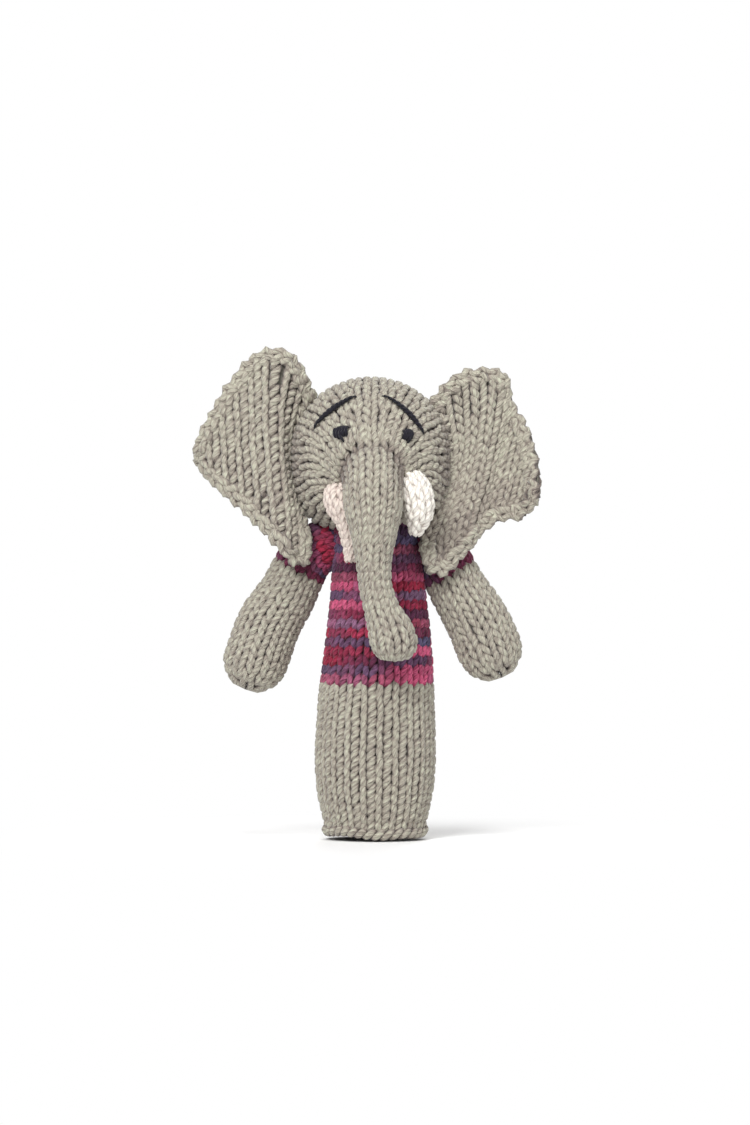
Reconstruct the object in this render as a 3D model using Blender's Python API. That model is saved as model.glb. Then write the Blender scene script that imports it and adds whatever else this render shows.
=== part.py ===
"""A knitted elephant finger puppet.

Metres, +Z up, face towards -Y. The origin is the middle of the finger opening, in the plane of the
hem. Left and right are the viewer's, looking at the face. Each piece of knitting is one surface,
given by a function of the way round it and the way along it. Its columns of stitches are ridges, and
the points on their crests sit half a course further along than those in the furrows, so that each
stitch is a small V.
"""

import math

import bmesh
import bpy
import numpy as np
from mathutils import Vector
from mathutils.bvhtree import BVHTree

# Gauge and fabric
COURSE = 0.0030  # height of one modelled row of stitches, a little more than the yarn's own 2.4 mm
RIDGE = 0.0008  # from the furrow between two columns of stitches up to the crest
BODY_WALES = 22  # columns of stitches round the body
ARM_WALES = 12
HEAD_WALES = 28
FACE_WALES = 20
TRUNK_WALES = 12
TRUNK_TIP_WALES = 8
EAR_WALES = 8
TUSK_WALES = 5
FABRIC = 0.0024  # thickness of the knitted walls
SEWN_GAP = 0.0003  # between two pieces that are sewn together
STUFFING_GAP = 0.0005  # between the stuffing and the cover round it

# Body tube: half widths from the hem to the neck, and the heights between them
HEM_HALF_WIDTH = 0.0118
SKIRT_HALF_WIDTH = 0.0143
WAIST_HALF_WIDTH = 0.0131
CHEST_HALF_WIDTH = 0.0117
NECK_HALF_WIDTH = 0.0108
HEM_RISE = 0.0115
SKIRT_STRAIGHT = 0.0225
JUMPER_TAPER = 0.0140
CHEST_TAPER = 0.0130
NECK_RISE = 0.0180
BODY_DEPTH_RATIO = 0.87  # front to back over side to side
JUMPER_HEM = 0.0380  # height at which grey yarn changes to the striped yarn
FINGER_ROOM = 0.0700  # depth of the pocket for the finger
POCKET_DOME = 0.0017  # how much the pocket's last ring draws in below its end
CLEARANCE_COLUMNS = 32

# Head: a ball a little flatter front to back
HEAD_HALF_WIDTH = 0.0200
HEAD_HALF_DEPTH = 0.0190
HEAD_HALF_HEIGHT = 0.0193
HEAD_OFFSET = -0.0010  # the head sits a little to the left of the body's middle
CHEEK_FULLNESS = 0.13  # how far the lower cheeks stand out of the ball, as a share of it
HEAD_SECTIONS = 10  # sections of the ball from the back of the head to the face
SKIN_COLUMNS = 36
CHIN_SINK = 0.0030  # how far the underside of the head drops below the neck's rim
NECK_HOLE = 0.0062  # half width of the opening that the stuffing went in through
STUFFING_COLUMNS = 16
STUFFING_FROM = math.radians(-67)  # where the ball of stuffing begins over its plug, and where it is capped
STUFFING_TO = math.radians(75)
STUFFING_ROWS = 6
TAIL_COLUMNS = 8
FACE_EDGE_ANGLE = math.radians(130)  # from the back of the head to where the trunk's swell begins

# Trunk, from the forehead to the tip. Each station has its front point and its back point, each as
# (y, z) from the middle of the head, its half width, and how far it sits to the right.
TRUNK_STATIONS = (
    ((-0.0158, 0.0108), (-0.0132, -0.0136), 0.0122, 0.0000),
    ((-0.0181, 0.0067), (-0.0142, -0.0129), 0.0100, 0.0001),
    ((-0.0200, 0.0029), (-0.0151, -0.0129), 0.0080, 0.0003),
    ((-0.0230, -0.0014), (-0.0157, -0.0137), 0.0072, 0.0005),
    ((-0.0252, -0.0063), (-0.0160, -0.0152), 0.0071, 0.0006),
    ((-0.0263, -0.0116), (-0.0160, -0.0174), 0.0068, 0.0006),
    ((-0.0262, -0.0166), (-0.0160, -0.0202), 0.0058, 0.0007),
    ((-0.0254, -0.0216), (-0.0162, -0.0234), 0.0049, 0.0007),
    ((-0.0245, -0.0271), (-0.0164, -0.0277), 0.0041, 0.0007),
    ((-0.0238, -0.0331), (-0.0161, -0.0331), 0.0039, 0.0012),
    ((-0.0237, -0.0386), (-0.0155, -0.0386), 0.0043, 0.0028),
    ((-0.0243, -0.0430), (-0.0150, -0.0430), 0.0053, 0.0047),
    ((-0.0249, -0.0463), (-0.0149, -0.0463), 0.0058, 0.0056),
    ((-0.0246, -0.0492), (-0.0154, -0.0492), 0.0054, 0.0060),
    ((-0.0228, -0.0509), (-0.0170, -0.0509), 0.0035, 0.0062),
    ((-0.0199, -0.0515), (-0.0199, -0.0515), 0.0000, 0.0062),
)
TRUNK_SWELL_INDEX = 2  # the station where the trunk's own wales begin
TRUNK_NARROW_INDEX = 7  # and where they become fewer
TRUNK_STUFFING_INDEX = 6  # the station that the stuffing in the trunk reaches

# Arms: the middle line from the shoulder to the hand as (x, z) from the middle of the neck's rim,
# and the half widths at those points
LEFT_ARM_LINE = (
    (-0.0100, -0.0068), (-0.0162, -0.0096), (-0.0222, -0.0190), (-0.0266, -0.0262), (-0.0298, -0.0350),
)
RIGHT_ARM_LINE = (
    (0.0098, -0.0068), (0.0152, -0.0094), (0.0216, -0.0187), (0.0260, -0.0260), (0.0287, -0.0322),
)
ARM_HALF_WIDTHS = (0.0050, 0.0060, 0.0071, 0.0078, 0.0079)
ARM_DEPTH_RATIO = 0.86
ARM_SET_BACK = 0.0015
HAND_CLOSES_AT = 0.7  # where the hand's wales are halved, as a share of the way round its end
ARM_STUFFING_COLUMNS = 10
SLEEVE_LENGTH = 0.0136

# Ears: the upper and the lower edge, each from the outer point to the head, and the seam down the
# side of the head, as (out, up) from the side and the middle of the head. Then how far forward each
# ear stands at five places from the outer point to the head.
LEFT_EAR_UPPER = (
    (0.0240, 0.0018), (0.0218, 0.0085), (0.0170, 0.0175), (0.0108, 0.0237), (0.0050, 0.0263),
    (-0.0012, 0.0242), (-0.0062, 0.0145),
)
LEFT_EAR_LOWER = (
    (0.0238, -0.0010), (0.0202, -0.0072), (0.0143, -0.0132), (0.0088, -0.0182), (0.0034, -0.0235),
    (0.0004, -0.0275), (-0.0042, -0.0278),
)
LEFT_EAR_SEAM = (
    (-0.0062, 0.0145), (-0.0014, 0.0085), (0.0004, 0.0015), (0.0006, -0.0055), (-0.0010, -0.0130),
    (-0.0038, -0.0207), (-0.0042, -0.0278),
)
LEFT_EAR_FORWARD = (-0.0015, 0.0012, 0.0028, 0.0048, 0.0005)
RIGHT_EAR_UPPER = (
    (0.0230, -0.0088), (0.0224, -0.0012), (0.0198, 0.0072), (0.0168, 0.0130), (0.0136, 0.0208),
    (0.0030, 0.0208), (-0.0048, 0.0140),
)
RIGHT_EAR_LOWER = (
    (0.0225, -0.0122), (0.0180, -0.0164), (0.0122, -0.0170), (0.0076, -0.0201), (0.0036, -0.0245),
    (-0.0012, -0.0300), (-0.0062, -0.0298),
)
RIGHT_EAR_SEAM = (
    (-0.0048, 0.0140), (-0.0020, 0.0070), (-0.0008, -0.0003), (-0.0014, -0.0080), (-0.0042, -0.0152),
    (-0.0078, -0.0222), (-0.0062, -0.0298),
)
RIGHT_EAR_FORWARD = (0.0062, 0.0022, -0.0004, 0.0014, 0.0020)
EAR_LOBE_FORWARD = 0.0072  # how much further forward the lobe is, where it lies on the shoulder
LOBE_FROM = 0.45  # where that begins, as a share of the way down the ear
SEAM_REACH = 4  # the higher, the closer to the head the ear keeps its straight columns
EAR_FABRIC = 0.0026
EAR_ROLL = 0.0010  # how much thicker the rolled edge is
RIM_INSET = 0.06  # width of the rounded rim, as a share of the ear
EAR_COURSES = 11
EAR_SLOPE_STEP = 0.01

# Tusks: the middle line from the face to the tip as (x, y, z) from the middle of the head
LEFT_TUSK_LINE = (
    (-0.0080, -0.0115, -0.0080), (-0.0084, -0.0152, -0.0112),
    (-0.0064, -0.0154, -0.0170), (-0.0053, -0.0138, -0.0266),
)
LEFT_TUSK_HALF_WIDTHS = (0.0028, 0.0035, 0.0028, 0.0012)
RIGHT_TUSK_LINE = (
    (0.0092, -0.0115, -0.0050), (0.0116, -0.0155, -0.0092),
    (0.0125, -0.0158, -0.0140), (0.0114, -0.0142, -0.0202),
)
RIGHT_TUSK_HALF_WIDTHS = (0.0028, 0.0041, 0.0037, 0.0012)
TUSK_COURSES = 8
TUSK_TIP = 0.97  # the share of a tusk up to which its ridges follow its own slope

# Eyes and eyebrows, sewn in black yarn: places as (x, z) from the middle of the head
LEFT_EYE = (-0.0071, 0.0047)
RIGHT_EYE = (0.0086, 0.0043)
LEFT_EYE_HALF_WIDTH = 0.0019
RIGHT_EYE_HALF_WIDTH = 0.0015
EYE_HALF_HEIGHT = 0.0016
EYE_DOME = 0.0012
LEFT_BROW_LINE = ((-0.0138, 0.0062), (-0.0115, 0.0095), (-0.0082, 0.0121), (-0.0038, 0.0141))
RIGHT_BROW_LINE = ((0.0029, 0.0143), (0.0060, 0.0130), (0.0097, 0.0100), (0.0130, 0.0050))
BROW_RADIUS = 0.0005
BROW_POINTS = 9

# Yarn colours, roughness
GREY_YARN = ((0.33, 0.30, 0.24), 0.9)
STRIPED_YARN = ((0.30, 0.06, 0.14), 0.9)
CREAM_YARN = ((0.86, 0.82, 0.73), 0.9)
BLACK_YARN = ((0.012, 0.010, 0.018), 0.85)
STUFFING = ((0.85, 0.84, 0.80), 1.0)

NECK_HEIGHT = HEM_RISE + SKIRT_STRAIGHT + JUMPER_TAPER + CHEST_TAPER + NECK_RISE
HEAD_MIDDLE = Vector((HEAD_OFFSET, 0, NECK_HEIGHT - CHIN_SINK + HEAD_HALF_HEIGHT))
SIDE_STEP = 1e-4  # step for the slopes of a surface


def smooth_through(places, values):
    """A function that runs smoothly through values at places, and stays at the end values beyond."""
    places = np.asarray(places, float)
    values = np.asarray(values, float)
    slopes = np.gradient(values, places, axis=0)

    def at(place):
        place = min(max(place, places[0]), places[-1])
        i = min(int(np.searchsorted(places, place, side="right")) - 1, len(places) - 2)
        span = places[i + 1] - places[i]
        t = (place - places[i]) / span
        return (
            values[i] * (1 + 2 * t) * (1 - t) ** 2
            + slopes[i] * span * t * (1 - t) ** 2
            + values[i + 1] * t * t * (3 - 2 * t)
            - slopes[i + 1] * span * t * t * (1 - t)
        )

    return at


def lengths_along(points):
    """The distance along a line of points at each of them."""
    steps = np.linalg.norm(np.diff(np.asarray(points, float), axis=0), axis=1)
    return np.concatenate([[0.0], np.cumsum(steps)])


def line_through(points):
    """A smooth line through points, as a function of the distance along it, and its length."""
    places = lengths_along(points)
    return smooth_through(places, points), places[-1]


def outward(surface, angle, along):
    """Unit normal of a surface at this way round and way along."""
    round_it = surface(angle + SIDE_STEP, along) - surface(angle - SIDE_STEP, along)
    along_it = surface(angle, along + SIDE_STEP / 10) - surface(angle, along - SIDE_STEP / 10)
    return round_it.cross(along_it).normalized()


def material(name, colour_and_roughness):
    colour, roughness = colour_and_roughness
    made = bpy.data.materials.get(name)
    if made is None:
        made = bpy.data.materials.new(name)
        made.use_nodes = True
        shader = made.node_tree.nodes["Principled BSDF"]
        shader.inputs["Base Color"].default_value = (*colour, 1)
        shader.inputs["Roughness"].default_value = roughness
        made.diffuse_color = (*colour, 1)
    return made


def add_object(name, bm, *materials):
    bmesh.ops.recalc_face_normals(bm, faces=bm.faces)
    if bm.calc_volume(signed=True) < 0:
        bmesh.ops.reverse_faces(bm, faces=bm.faces)
    mesh = bpy.data.meshes.new(name)
    bm.to_mesh(mesh)
    bm.free()
    mesh.shade_smooth()
    obj = bpy.data.objects.new(name, mesh)
    bpy.context.scene.collection.objects.link(obj)
    for one in materials:
        mesh.materials.append(one)
    return obj


def as_cutter(obj):
    obj.hide_render = True
    obj.display_type = "WIRE"
    return obj


def cut_from(obj, *cutters):
    for cutter in cutters:
        change = obj.modifiers.new("clear_of_" + cutter.name, "BOOLEAN")
        change.operation = "DIFFERENCE"
        change.solver = "EXACT"
        change.object = cutter


def join_rings(bm, first, second):
    """Faces between two closed rings of points that start at the same way round."""
    if len(first) == len(second):
        count = len(first)
        for k in range(count):
            bm.faces.new((first[k], first[(k + 1) % count], second[(k + 1) % count], second[k]))
        return
    i = j = 0
    while i < len(first) or j < len(second):
        step_first = (i + 0.5) / len(first) <= (j + 0.5) / len(second)
        if j == len(second) or (step_first and i < len(first)):
            bm.faces.new((first[i % len(first)], first[(i + 1) % len(first)], second[j % len(second)]))
            i += 1
        else:
            bm.faces.new((first[i % len(first)], second[(j + 1) % len(second)], second[j % len(second)]))
            j += 1


def close_ring(bm, ring, point):
    tip = bm.verts.new(point)
    for k in range(len(ring)):
        bm.faces.new((ring[k], ring[(k + 1) % len(ring)], tip))


def plain_ring(bm, surface, along, columns, swell):
    ring = []
    for k in range(columns):
        angle = 2 * math.pi * k / columns
        ring.append(bm.verts.new(surface(angle, along) + outward(surface, angle, along) * swell))
    return ring


def knitted_ring(bm, surface, along, wales, lean):
    """One row of stitches. The crests stand RIDGE above the furrows and lean back along the piece."""
    ring = []
    for k in range(2 * wales):
        angle = math.pi * k / wales
        is_crest = k % 2 == 0
        place = along - lean if is_crest else along
        height = RIDGE / 2 if is_crest else -RIDGE / 2
        ring.append(bm.verts.new(surface(angle, place) + outward(surface, angle, place) * height))
    return ring


def knitted_rows(bm, surface, rows, wales_at):
    """Rings of stitches joined into one skin. Returns its first and last ring."""
    rings = []
    for index, along in enumerate(rows):
        lean = 0 if index in (0, len(rows) - 1) else COURSE / 2
        rings.append(knitted_ring(bm, surface, along, wales_at(along), lean))
    for first, second in zip(rings, rings[1:]):
        join_rings(bm, first, second)
    return rings[0], rings[-1]


def rows_between(start, end, spacing):
    count = max(2, round((end - start) / spacing))
    return [start + (end - start) * i / count for i in range(count + 1)]


def body_profile():
    heights = np.cumsum([0, HEM_RISE, SKIRT_STRAIGHT, JUMPER_TAPER, CHEST_TAPER, NECK_RISE])
    widths = [
        HEM_HALF_WIDTH, SKIRT_HALF_WIDTH, SKIRT_HALF_WIDTH,
        WAIST_HALF_WIDTH, CHEST_HALF_WIDTH, NECK_HALF_WIDTH,
    ]
    return smooth_through(heights, widths)


BODY_HALF_WIDTH_AT = body_profile()


def body_surface(angle, height):
    half = BODY_HALF_WIDTH_AT(height)
    return Vector((half * math.cos(angle), half * BODY_DEPTH_RATIO * math.sin(angle), height))


def make_body(grey, striped):
    """A pocket of knitting, open at the hem: the grey skirt below and the striped jumper above."""
    bm = bmesh.new()
    # The rim at the neck is taken past the head, which is then cut out of it
    top = NECK_HEIGHT + CHIN_SINK
    hem, neck = knitted_rows(bm, body_surface, rows_between(0, top, COURSE), lambda _: BODY_WALES)
    close_ring(bm, neck, (0, 0, top))
    inside = [
        plain_ring(bm, body_surface, height, BODY_WALES, -FABRIC)
        for height in rows_between(0, FINGER_ROOM - FABRIC * 2, COURSE * 4)
    ]
    domed = FINGER_ROOM - POCKET_DOME
    inside.append(plain_ring(bm, body_surface, domed, BODY_WALES, -FABRIC - POCKET_DOME))
    for vert in inside[0] + hem:
        vert.co.z = 0
    join_rings(bm, hem, inside[0])
    for first, second in zip(inside, inside[1:]):
        join_rings(bm, first, second)
    close_ring(bm, inside[-1], (0, 0, FINGER_ROOM))
    body = add_object("body_tube", bm, grey, striped)
    for face in body.data.polygons:
        face.material_index = int(face.center.z > JUMPER_HEM)
    return body


def head_stations():
    """Front point, back point, half width, sideways place and fullness, from the back to the tip."""
    stations = []
    for i in range(HEAD_SECTIONS):
        turn = FACE_EDGE_ANGLE * i / (HEAD_SECTIONS - 1)
        y, rise = HEAD_HALF_DEPTH * math.cos(turn), HEAD_HALF_HEIGHT * math.sin(turn)
        stations.append((y, rise, y, -rise, HEAD_HALF_WIDTH * math.sin(turn), 0, CHEEK_FULLNESS))
    for i, (front, back, half, side) in enumerate(TRUNK_STATIONS):
        left = max(0, 1 - (i + 1) / (TRUNK_SWELL_INDEX + 1))
        stations.append((*front, *back, half, side, CHEEK_FULLNESS * left))
    return np.array(stations)


def head_surface_from(stations):
    places = lengths_along(stations[:, :2])
    at = smooth_through(places, stations)

    def surface(angle, along):
        front_y, front_z, back_y, back_z, half, side, fullness = at(along)
        ahead, behind = at(along + SIDE_STEP * 5), at(along - SIDE_STEP * 5)
        front, back = Vector((side, front_y, front_z)), Vector((side, back_y, back_z))
        change = ahead - behind
        run = Vector((change[5], change[0] + change[2], change[1] + change[3]))
        across = Vector((1, 0, 0))
        if run.length > 0:
            run.normalize()
            across = (across - run * across.dot(run)).normalized()
        middle, reach = (front + back) / 2, (front - back) / 2
        full = 1 + fullness * math.sin(2 * angle) ** 2 if math.sin(angle) < 0 else 1
        ring = across * (half * math.cos(angle)) + reach * math.sin(angle)
        return HEAD_MIDDLE + middle + ring * full

    return surface, places


HEAD_SURFACE, HEAD_PLACES = head_surface_from(head_stations())
HEAD_END = HEAD_PLACES[-1]
FACE_PLACE = HEAD_PLACES[-len(TRUNK_STATIONS) - 1]
TRUNK_PLACES = HEAD_PLACES[-len(TRUNK_STATIONS):]


def head_wales_at(along):
    """The wales split in steps from the tip to the head, and close in again at the back."""
    if along > TRUNK_PLACES[TRUNK_NARROW_INDEX]:
        return TRUNK_TIP_WALES
    if along > TRUNK_PLACES[TRUNK_SWELL_INDEX]:
        return TRUNK_WALES
    if along > FACE_PLACE or along < 4 * COURSE:
        return FACE_WALES
    return HEAD_WALES


def head_skin(name, swell):
    """The head and trunk as one plain closed skin, for clearances and for seating small pieces."""
    bm = bmesh.new()
    rings = [
        plain_ring(bm, HEAD_SURFACE, along, SKIN_COLUMNS, swell)
        for along in rows_between(COURSE, HEAD_END - COURSE / 2, COURSE * 1.5)
    ]
    for first, second in zip(rings, rings[1:]):
        join_rings(bm, first, second)
    for ring, along, side in ((rings[0], 0, 1), (rings[-1], HEAD_END, -1)):
        end = HEAD_SURFACE(0, along)
        away = Vector((0, 1, 0)) if side > 0 else Vector((0, 0, -1))
        close_ring(bm, ring, end + away * swell)
    return add_object(name, bm)


def stuffing_form(name, swell, plug_depth, *materials):
    """The ball of stuffing in the head, with its plug in the neck and its tail in the trunk."""
    wall = FABRIC + STUFFING_GAP - swell
    half_sizes = Vector((HEAD_HALF_WIDTH - wall, HEAD_HALF_DEPTH - wall, HEAD_HALF_HEIGHT - wall))
    plug = NECK_HOLE - STUFFING_GAP + swell
    turns = rows_between(STUFFING_FROM, STUFFING_TO, (STUFFING_TO - STUFFING_FROM) / STUFFING_ROWS)
    bm = bmesh.new()
    levels = [(plug, plug, -plug_depth)]
    levels += [
        (half_sizes.x * math.cos(turn), half_sizes.y * math.cos(turn), half_sizes.z * math.sin(turn))
        for turn in turns
    ]
    rings = []
    for half_width, half_depth, height in levels:
        ring = []
        for k in range(STUFFING_COLUMNS):
            angle = 2 * math.pi * k / STUFFING_COLUMNS
            place = Vector((half_width * math.cos(angle), half_depth * math.sin(angle), height))
            ring.append(bm.verts.new(HEAD_MIDDLE + place))
        rings.append(ring)
    for first, second in zip(rings, rings[1:]):
        join_rings(bm, first, second)
    close_ring(bm, rings[-1], HEAD_MIDDLE + Vector((0, 0, half_sizes.z)))
    close_ring(bm, rings[0], HEAD_MIDDLE + Vector((0, 0, -plug_depth)))
    ball = add_object(name, bm, *materials)

    tail = bmesh.new()
    rows = rows_between(FACE_PLACE, TRUNK_PLACES[TRUNK_STUFFING_INDEX], COURSE * 1.5)
    # The skin bends sharply under the chin, so the stuffing in the trunk has twice the room
    wall += STUFFING_GAP - swell
    tail_rings = [plain_ring(tail, HEAD_SURFACE, rows[0] - 5 * swell, TAIL_COLUMNS, -wall - FABRIC)]
    tail_rings += [plain_ring(tail, HEAD_SURFACE, along, TAIL_COLUMNS, -wall) for along in rows[1:-1]]
    tail_rings.append(plain_ring(tail, HEAD_SURFACE, rows[-1] + 2 * swell, TAIL_COLUMNS, -wall))
    for first, second in zip(tail_rings, tail_rings[1:]):
        join_rings(tail, first, second)
    for ring in (tail_rings[0], tail_rings[-1]):
        close_ring(tail, ring, sum((vert.co for vert in ring), Vector()) / len(ring))
    tail_object = as_cutter(add_object(name + "_tail", tail))
    union = ball.modifiers.new("tail_in_trunk", "BOOLEAN")
    union.operation = "UNION"
    union.solver = "EXACT"
    union.object = tail_object
    return ball


def make_head(grey, stuffing):
    """The head and its trunk, knitted in one, with room inside for the stuffing."""
    bm = bmesh.new()
    rows = rows_between(COURSE, HEAD_END - COURSE * 0.6, COURSE)
    first, last = knitted_rows(bm, HEAD_SURFACE, rows, head_wales_at)
    close_ring(bm, first, HEAD_SURFACE(0, 0))
    close_ring(bm, last, HEAD_SURFACE(0, HEAD_END))
    head = add_object("head_with_trunk", bm, grey)
    # The room's plug goes right through the fabric, and the stuffing's ends inside it
    cut_from(head, as_cutter(stuffing_form("head_stuffing_room", STUFFING_GAP, HEAD_HALF_HEIGHT + FABRIC)))
    stuffing_form("head_stuffing", 0, HEAD_HALF_HEIGHT - FABRIC / 2, stuffing)
    return head


def arm_surface_from(line, widths):
    points = [Vector((x, ARM_SET_BACK, NECK_HEIGHT + z)) for x, z in line]
    at, length = line_through([tuple(p) for p in points])
    half_at = smooth_through(lengths_along([tuple(p) for p in points]), widths)
    whole = length + widths[-1]

    def surface(angle, along):
        over = max(0.0, along - length) / widths[-1]
        place = min(along, length)
        run = Vector(at(place + SIDE_STEP)) - Vector(at(place - SIDE_STEP))
        if run.length == 0:
            run = Vector(at(length)) - Vector(at(length - SIDE_STEP))
        run.normalize()
        across = Vector((0, -1, 0)).cross(run).normalized()
        half = half_at(place) * math.sqrt(max(0.0, 1 - min(over, 1) ** 2))
        middle = Vector(at(place)) + run * max(0.0, along - length)
        return (
            middle
            + across * (half * math.cos(angle))
            + Vector((0, -1, 0)) * (half * ARM_DEPTH_RATIO * math.sin(angle))
        )

    return surface, length, whole


def make_arm(side, line, grey, striped, stuffing, clearances):
    """A stuffed tube of knitting with a rounded hand, and a short sleeve of the jumper's yarn."""
    surface, length, whole = arm_surface_from(line, ARM_HALF_WIDTHS)
    bm = bmesh.new()
    rows = rows_between(0, whole - COURSE * 0.35, COURSE)
    hand = length + ARM_HALF_WIDTHS[-1] * HAND_CLOSES_AT
    wales_at = lambda along: ARM_WALES if along < hand else ARM_WALES // 2
    shoulder, tip = knitted_rows(bm, surface, rows, wales_at)
    close_ring(bm, shoulder, surface(0, 0) / 2 + surface(math.pi, 0) / 2)
    close_ring(bm, tip, surface(0, whole))
    arm = add_object(side + "_arm", bm, grey, striped)
    sleeve_end = surface(0, SLEEVE_LENGTH) / 2 + surface(math.pi, SLEEVE_LENGTH) / 2
    for face in arm.data.polygons:
        face.material_index = int(face.center.z > sleeve_end.z)

    def filling(name, swell, *materials):
        bm = bmesh.new()
        wall = FABRIC + STUFFING_GAP - swell
        inner, _, end = arm_surface_from(line, [half - wall for half in ARM_HALF_WIDTHS])
        rings = [
            plain_ring(bm, inner, along, ARM_STUFFING_COLUMNS, 0)
            for along in rows_between(0, end - COURSE / 2, COURSE * 3)
        ]
        for first, second in zip(rings, rings[1:]):
            join_rings(bm, first, second)
        close_ring(bm, rings[0], inner(0, 0) / 2 + inner(math.pi, 0) / 2)
        close_ring(bm, rings[-1], inner(0, end))
        return add_object(name, bm, *materials)

    cut_from(arm, as_cutter(filling(side + "_arm_room", STUFFING_GAP)), *clearances)
    cut_from(filling(side + "_arm_stuffing", 0, stuffing), *clearances)
    return arm


def ear_surface_from(outwards, upper, lower, seam, forward):
    """The middle of the ear's fabric at (across from the outer point to the head, down from the top)."""
    upper_at = smooth_through(np.linspace(0, 1, len(upper)), upper)
    lower_at = smooth_through(np.linspace(0, 1, len(lower)), lower)
    seam_at = smooth_through(np.linspace(0, 1, len(seam)), seam)
    forward_at = smooth_through(np.linspace(0, 1, len(forward)), forward)
    seam_ends = np.array([upper[-1], lower[-1]])

    def surface(across, down):
        straight = seam_ends[0] * (1 - down) + seam_ends[1] * down
        bow = (seam_at(down) - straight) * across**SEAM_REACH
        out, up = upper_at(across) * (1 - down) + lower_at(across) * down + bow
        lobe = EAR_LOBE_FORWARD * across * max(0.0, down - LOBE_FROM) / (1 - LOBE_FROM)
        return HEAD_MIDDLE + Vector((outwards * (HEAD_HALF_WIDTH + out), -forward_at(across) - lobe, up))

    return surface


def make_ear(side, outwards, shape, grey, clearances):
    """One flap of knitting, ribbed up and down on both faces, with a thick rolled edge."""
    surface = ear_surface_from(outwards, *shape)
    columns, rows = 2 * EAR_WALES, EAR_COURSES
    bm = bmesh.new()
    front, back, rim = {}, {}, {}
    for i in range(columns + 1):
        for j in range(rows + 1):
            across = i / columns
            is_crest = i % 2 == 1
            on_edge = i in (0, columns) or j in (0, rows)
            down = (j - (0.5 if is_crest and not on_edge else 0)) / rows
            step = EAR_SLOPE_STEP
            side_way = surface(min(across + step, 1), down) - surface(max(across - step, 0), down)
            down_way = surface(across, min(down + step, 1)) - surface(across, max(down - step, 0))
            normal = side_way.cross(down_way).normalized()
            if normal.y > 0:
                normal.negate()
            half = EAR_FABRIC / 2
            if not on_edge:
                half += RIDGE / 2 if is_crest else -RIDGE / 2
                if i in (1, columns - 1) or j in (1, rows):
                    half += EAR_ROLL / 2
            middle = surface(across, down)
            if on_edge:
                kept = 1 - 2 * RIM_INSET
                inwards = surface(RIM_INSET + across * kept, RIM_INSET + down * kept)
                rim[i, j] = bm.verts.new(middle)
                middle = middle + (inwards - middle).normalized() * (EAR_FABRIC / 2)
            front[i, j] = bm.verts.new(middle + normal * half)
            back[i, j] = bm.verts.new(middle - normal * half)
    for i in range(columns):
        for j in range(rows):
            for face in (front, back):
                bm.faces.new((face[i, j], face[i + 1, j], face[i + 1, j + 1], face[i, j + 1]))
    edge = (
        [(i, 0) for i in range(columns)]
        + [(columns, j) for j in range(rows)]
        + [(i, rows) for i in range(columns, 0, -1)]
        + [(0, j) for j in range(rows, 0, -1)]
    )
    for here, after in zip(edge, edge[1:] + edge[:1]):
        bm.faces.new((front[here], front[after], rim[after], rim[here]))
        bm.faces.new((rim[here], rim[after], back[after], back[here]))
    ear = add_object(side + "_ear", bm, grey)
    cut_from(ear, *clearances)
    return ear


def tapered_surface_from(line, widths):
    at, length = line_through(line)
    half_at = smooth_through(lengths_along(line), widths)

    def surface(angle, along):
        place = min(max(along, 0), length)
        run = Vector(at(place + SIDE_STEP)) - Vector(at(place - SIDE_STEP))
        run.normalize()
        across = run.cross(Vector((0, -1, 0))).normalized()
        other = run.cross(across).normalized()
        half = half_at(place)
        return Vector(at(place)) + across * (half * math.cos(angle)) + other * (half * math.sin(angle))

    return surface, length


def make_tusk(side, line, widths, cream, clearances):
    """A small curved horn of knitting, sewn to the face beside the trunk."""
    line = [tuple(HEAD_MIDDLE + Vector(point)) for point in line]
    surface, length = tapered_surface_from(line, widths)
    bm = bmesh.new()
    rings = []
    for along in rows_between(0, length, length / TUSK_COURSES):
        ring = []
        for k in range(2 * TUSK_WALES):
            angle = math.pi * k / TUSK_WALES
            height = RIDGE / 4 if k % 2 == 0 else -RIDGE / 4
            share = min(1, 2 * (1 - along / length))
            normal = outward(surface, angle, min(along, length * TUSK_TIP))
            ring.append(bm.verts.new(surface(angle, along) + normal * height * share))
        rings.append(ring)
    for first, second in zip(rings, rings[1:]):
        join_rings(bm, first, second)
    for ring in (rings[0], rings[-1]):
        close_ring(bm, ring, sum((vert.co for vert in ring), Vector()) / len(ring))
    tusk = add_object(side + "_tusk", bm, cream)
    cut_from(tusk, *clearances)
    return tusk


def face_finder():
    """A function from (x, z) off the middle of the head to the place on the face and its normal."""
    skin = head_skin("face_skin", RIDGE / 2)
    tree = BVHTree.FromObject(skin, bpy.context.evaluated_depsgraph_get())
    as_cutter(skin)

    def find(x, z):
        start = HEAD_MIDDLE + Vector((x, -3 * HEAD_HALF_DEPTH, z))
        place, normal, _, _ = tree.ray_cast(start, Vector((0, 1, 0)))
        return place, normal if normal.y < 0 else -normal

    return find


def make_eye(side, place, half_width, black, on_face, clearances):
    """A few satin stitches of black yarn: a low dome on the face."""
    centre, normal = on_face(*place)
    bm = bmesh.new()
    bmesh.ops.create_uvsphere(bm, u_segments=12, v_segments=8, radius=1)
    bmesh.ops.scale(bm, vec=(half_width, EYE_HALF_HEIGHT, EYE_DOME + SEWN_GAP), verts=bm.verts)
    eye = add_object(side + "_eye", bm, black)
    eye.location = centre
    eye.rotation_euler = normal.to_track_quat("Z", "Y").to_euler()
    cut_from(eye, *clearances)
    return eye


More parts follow.
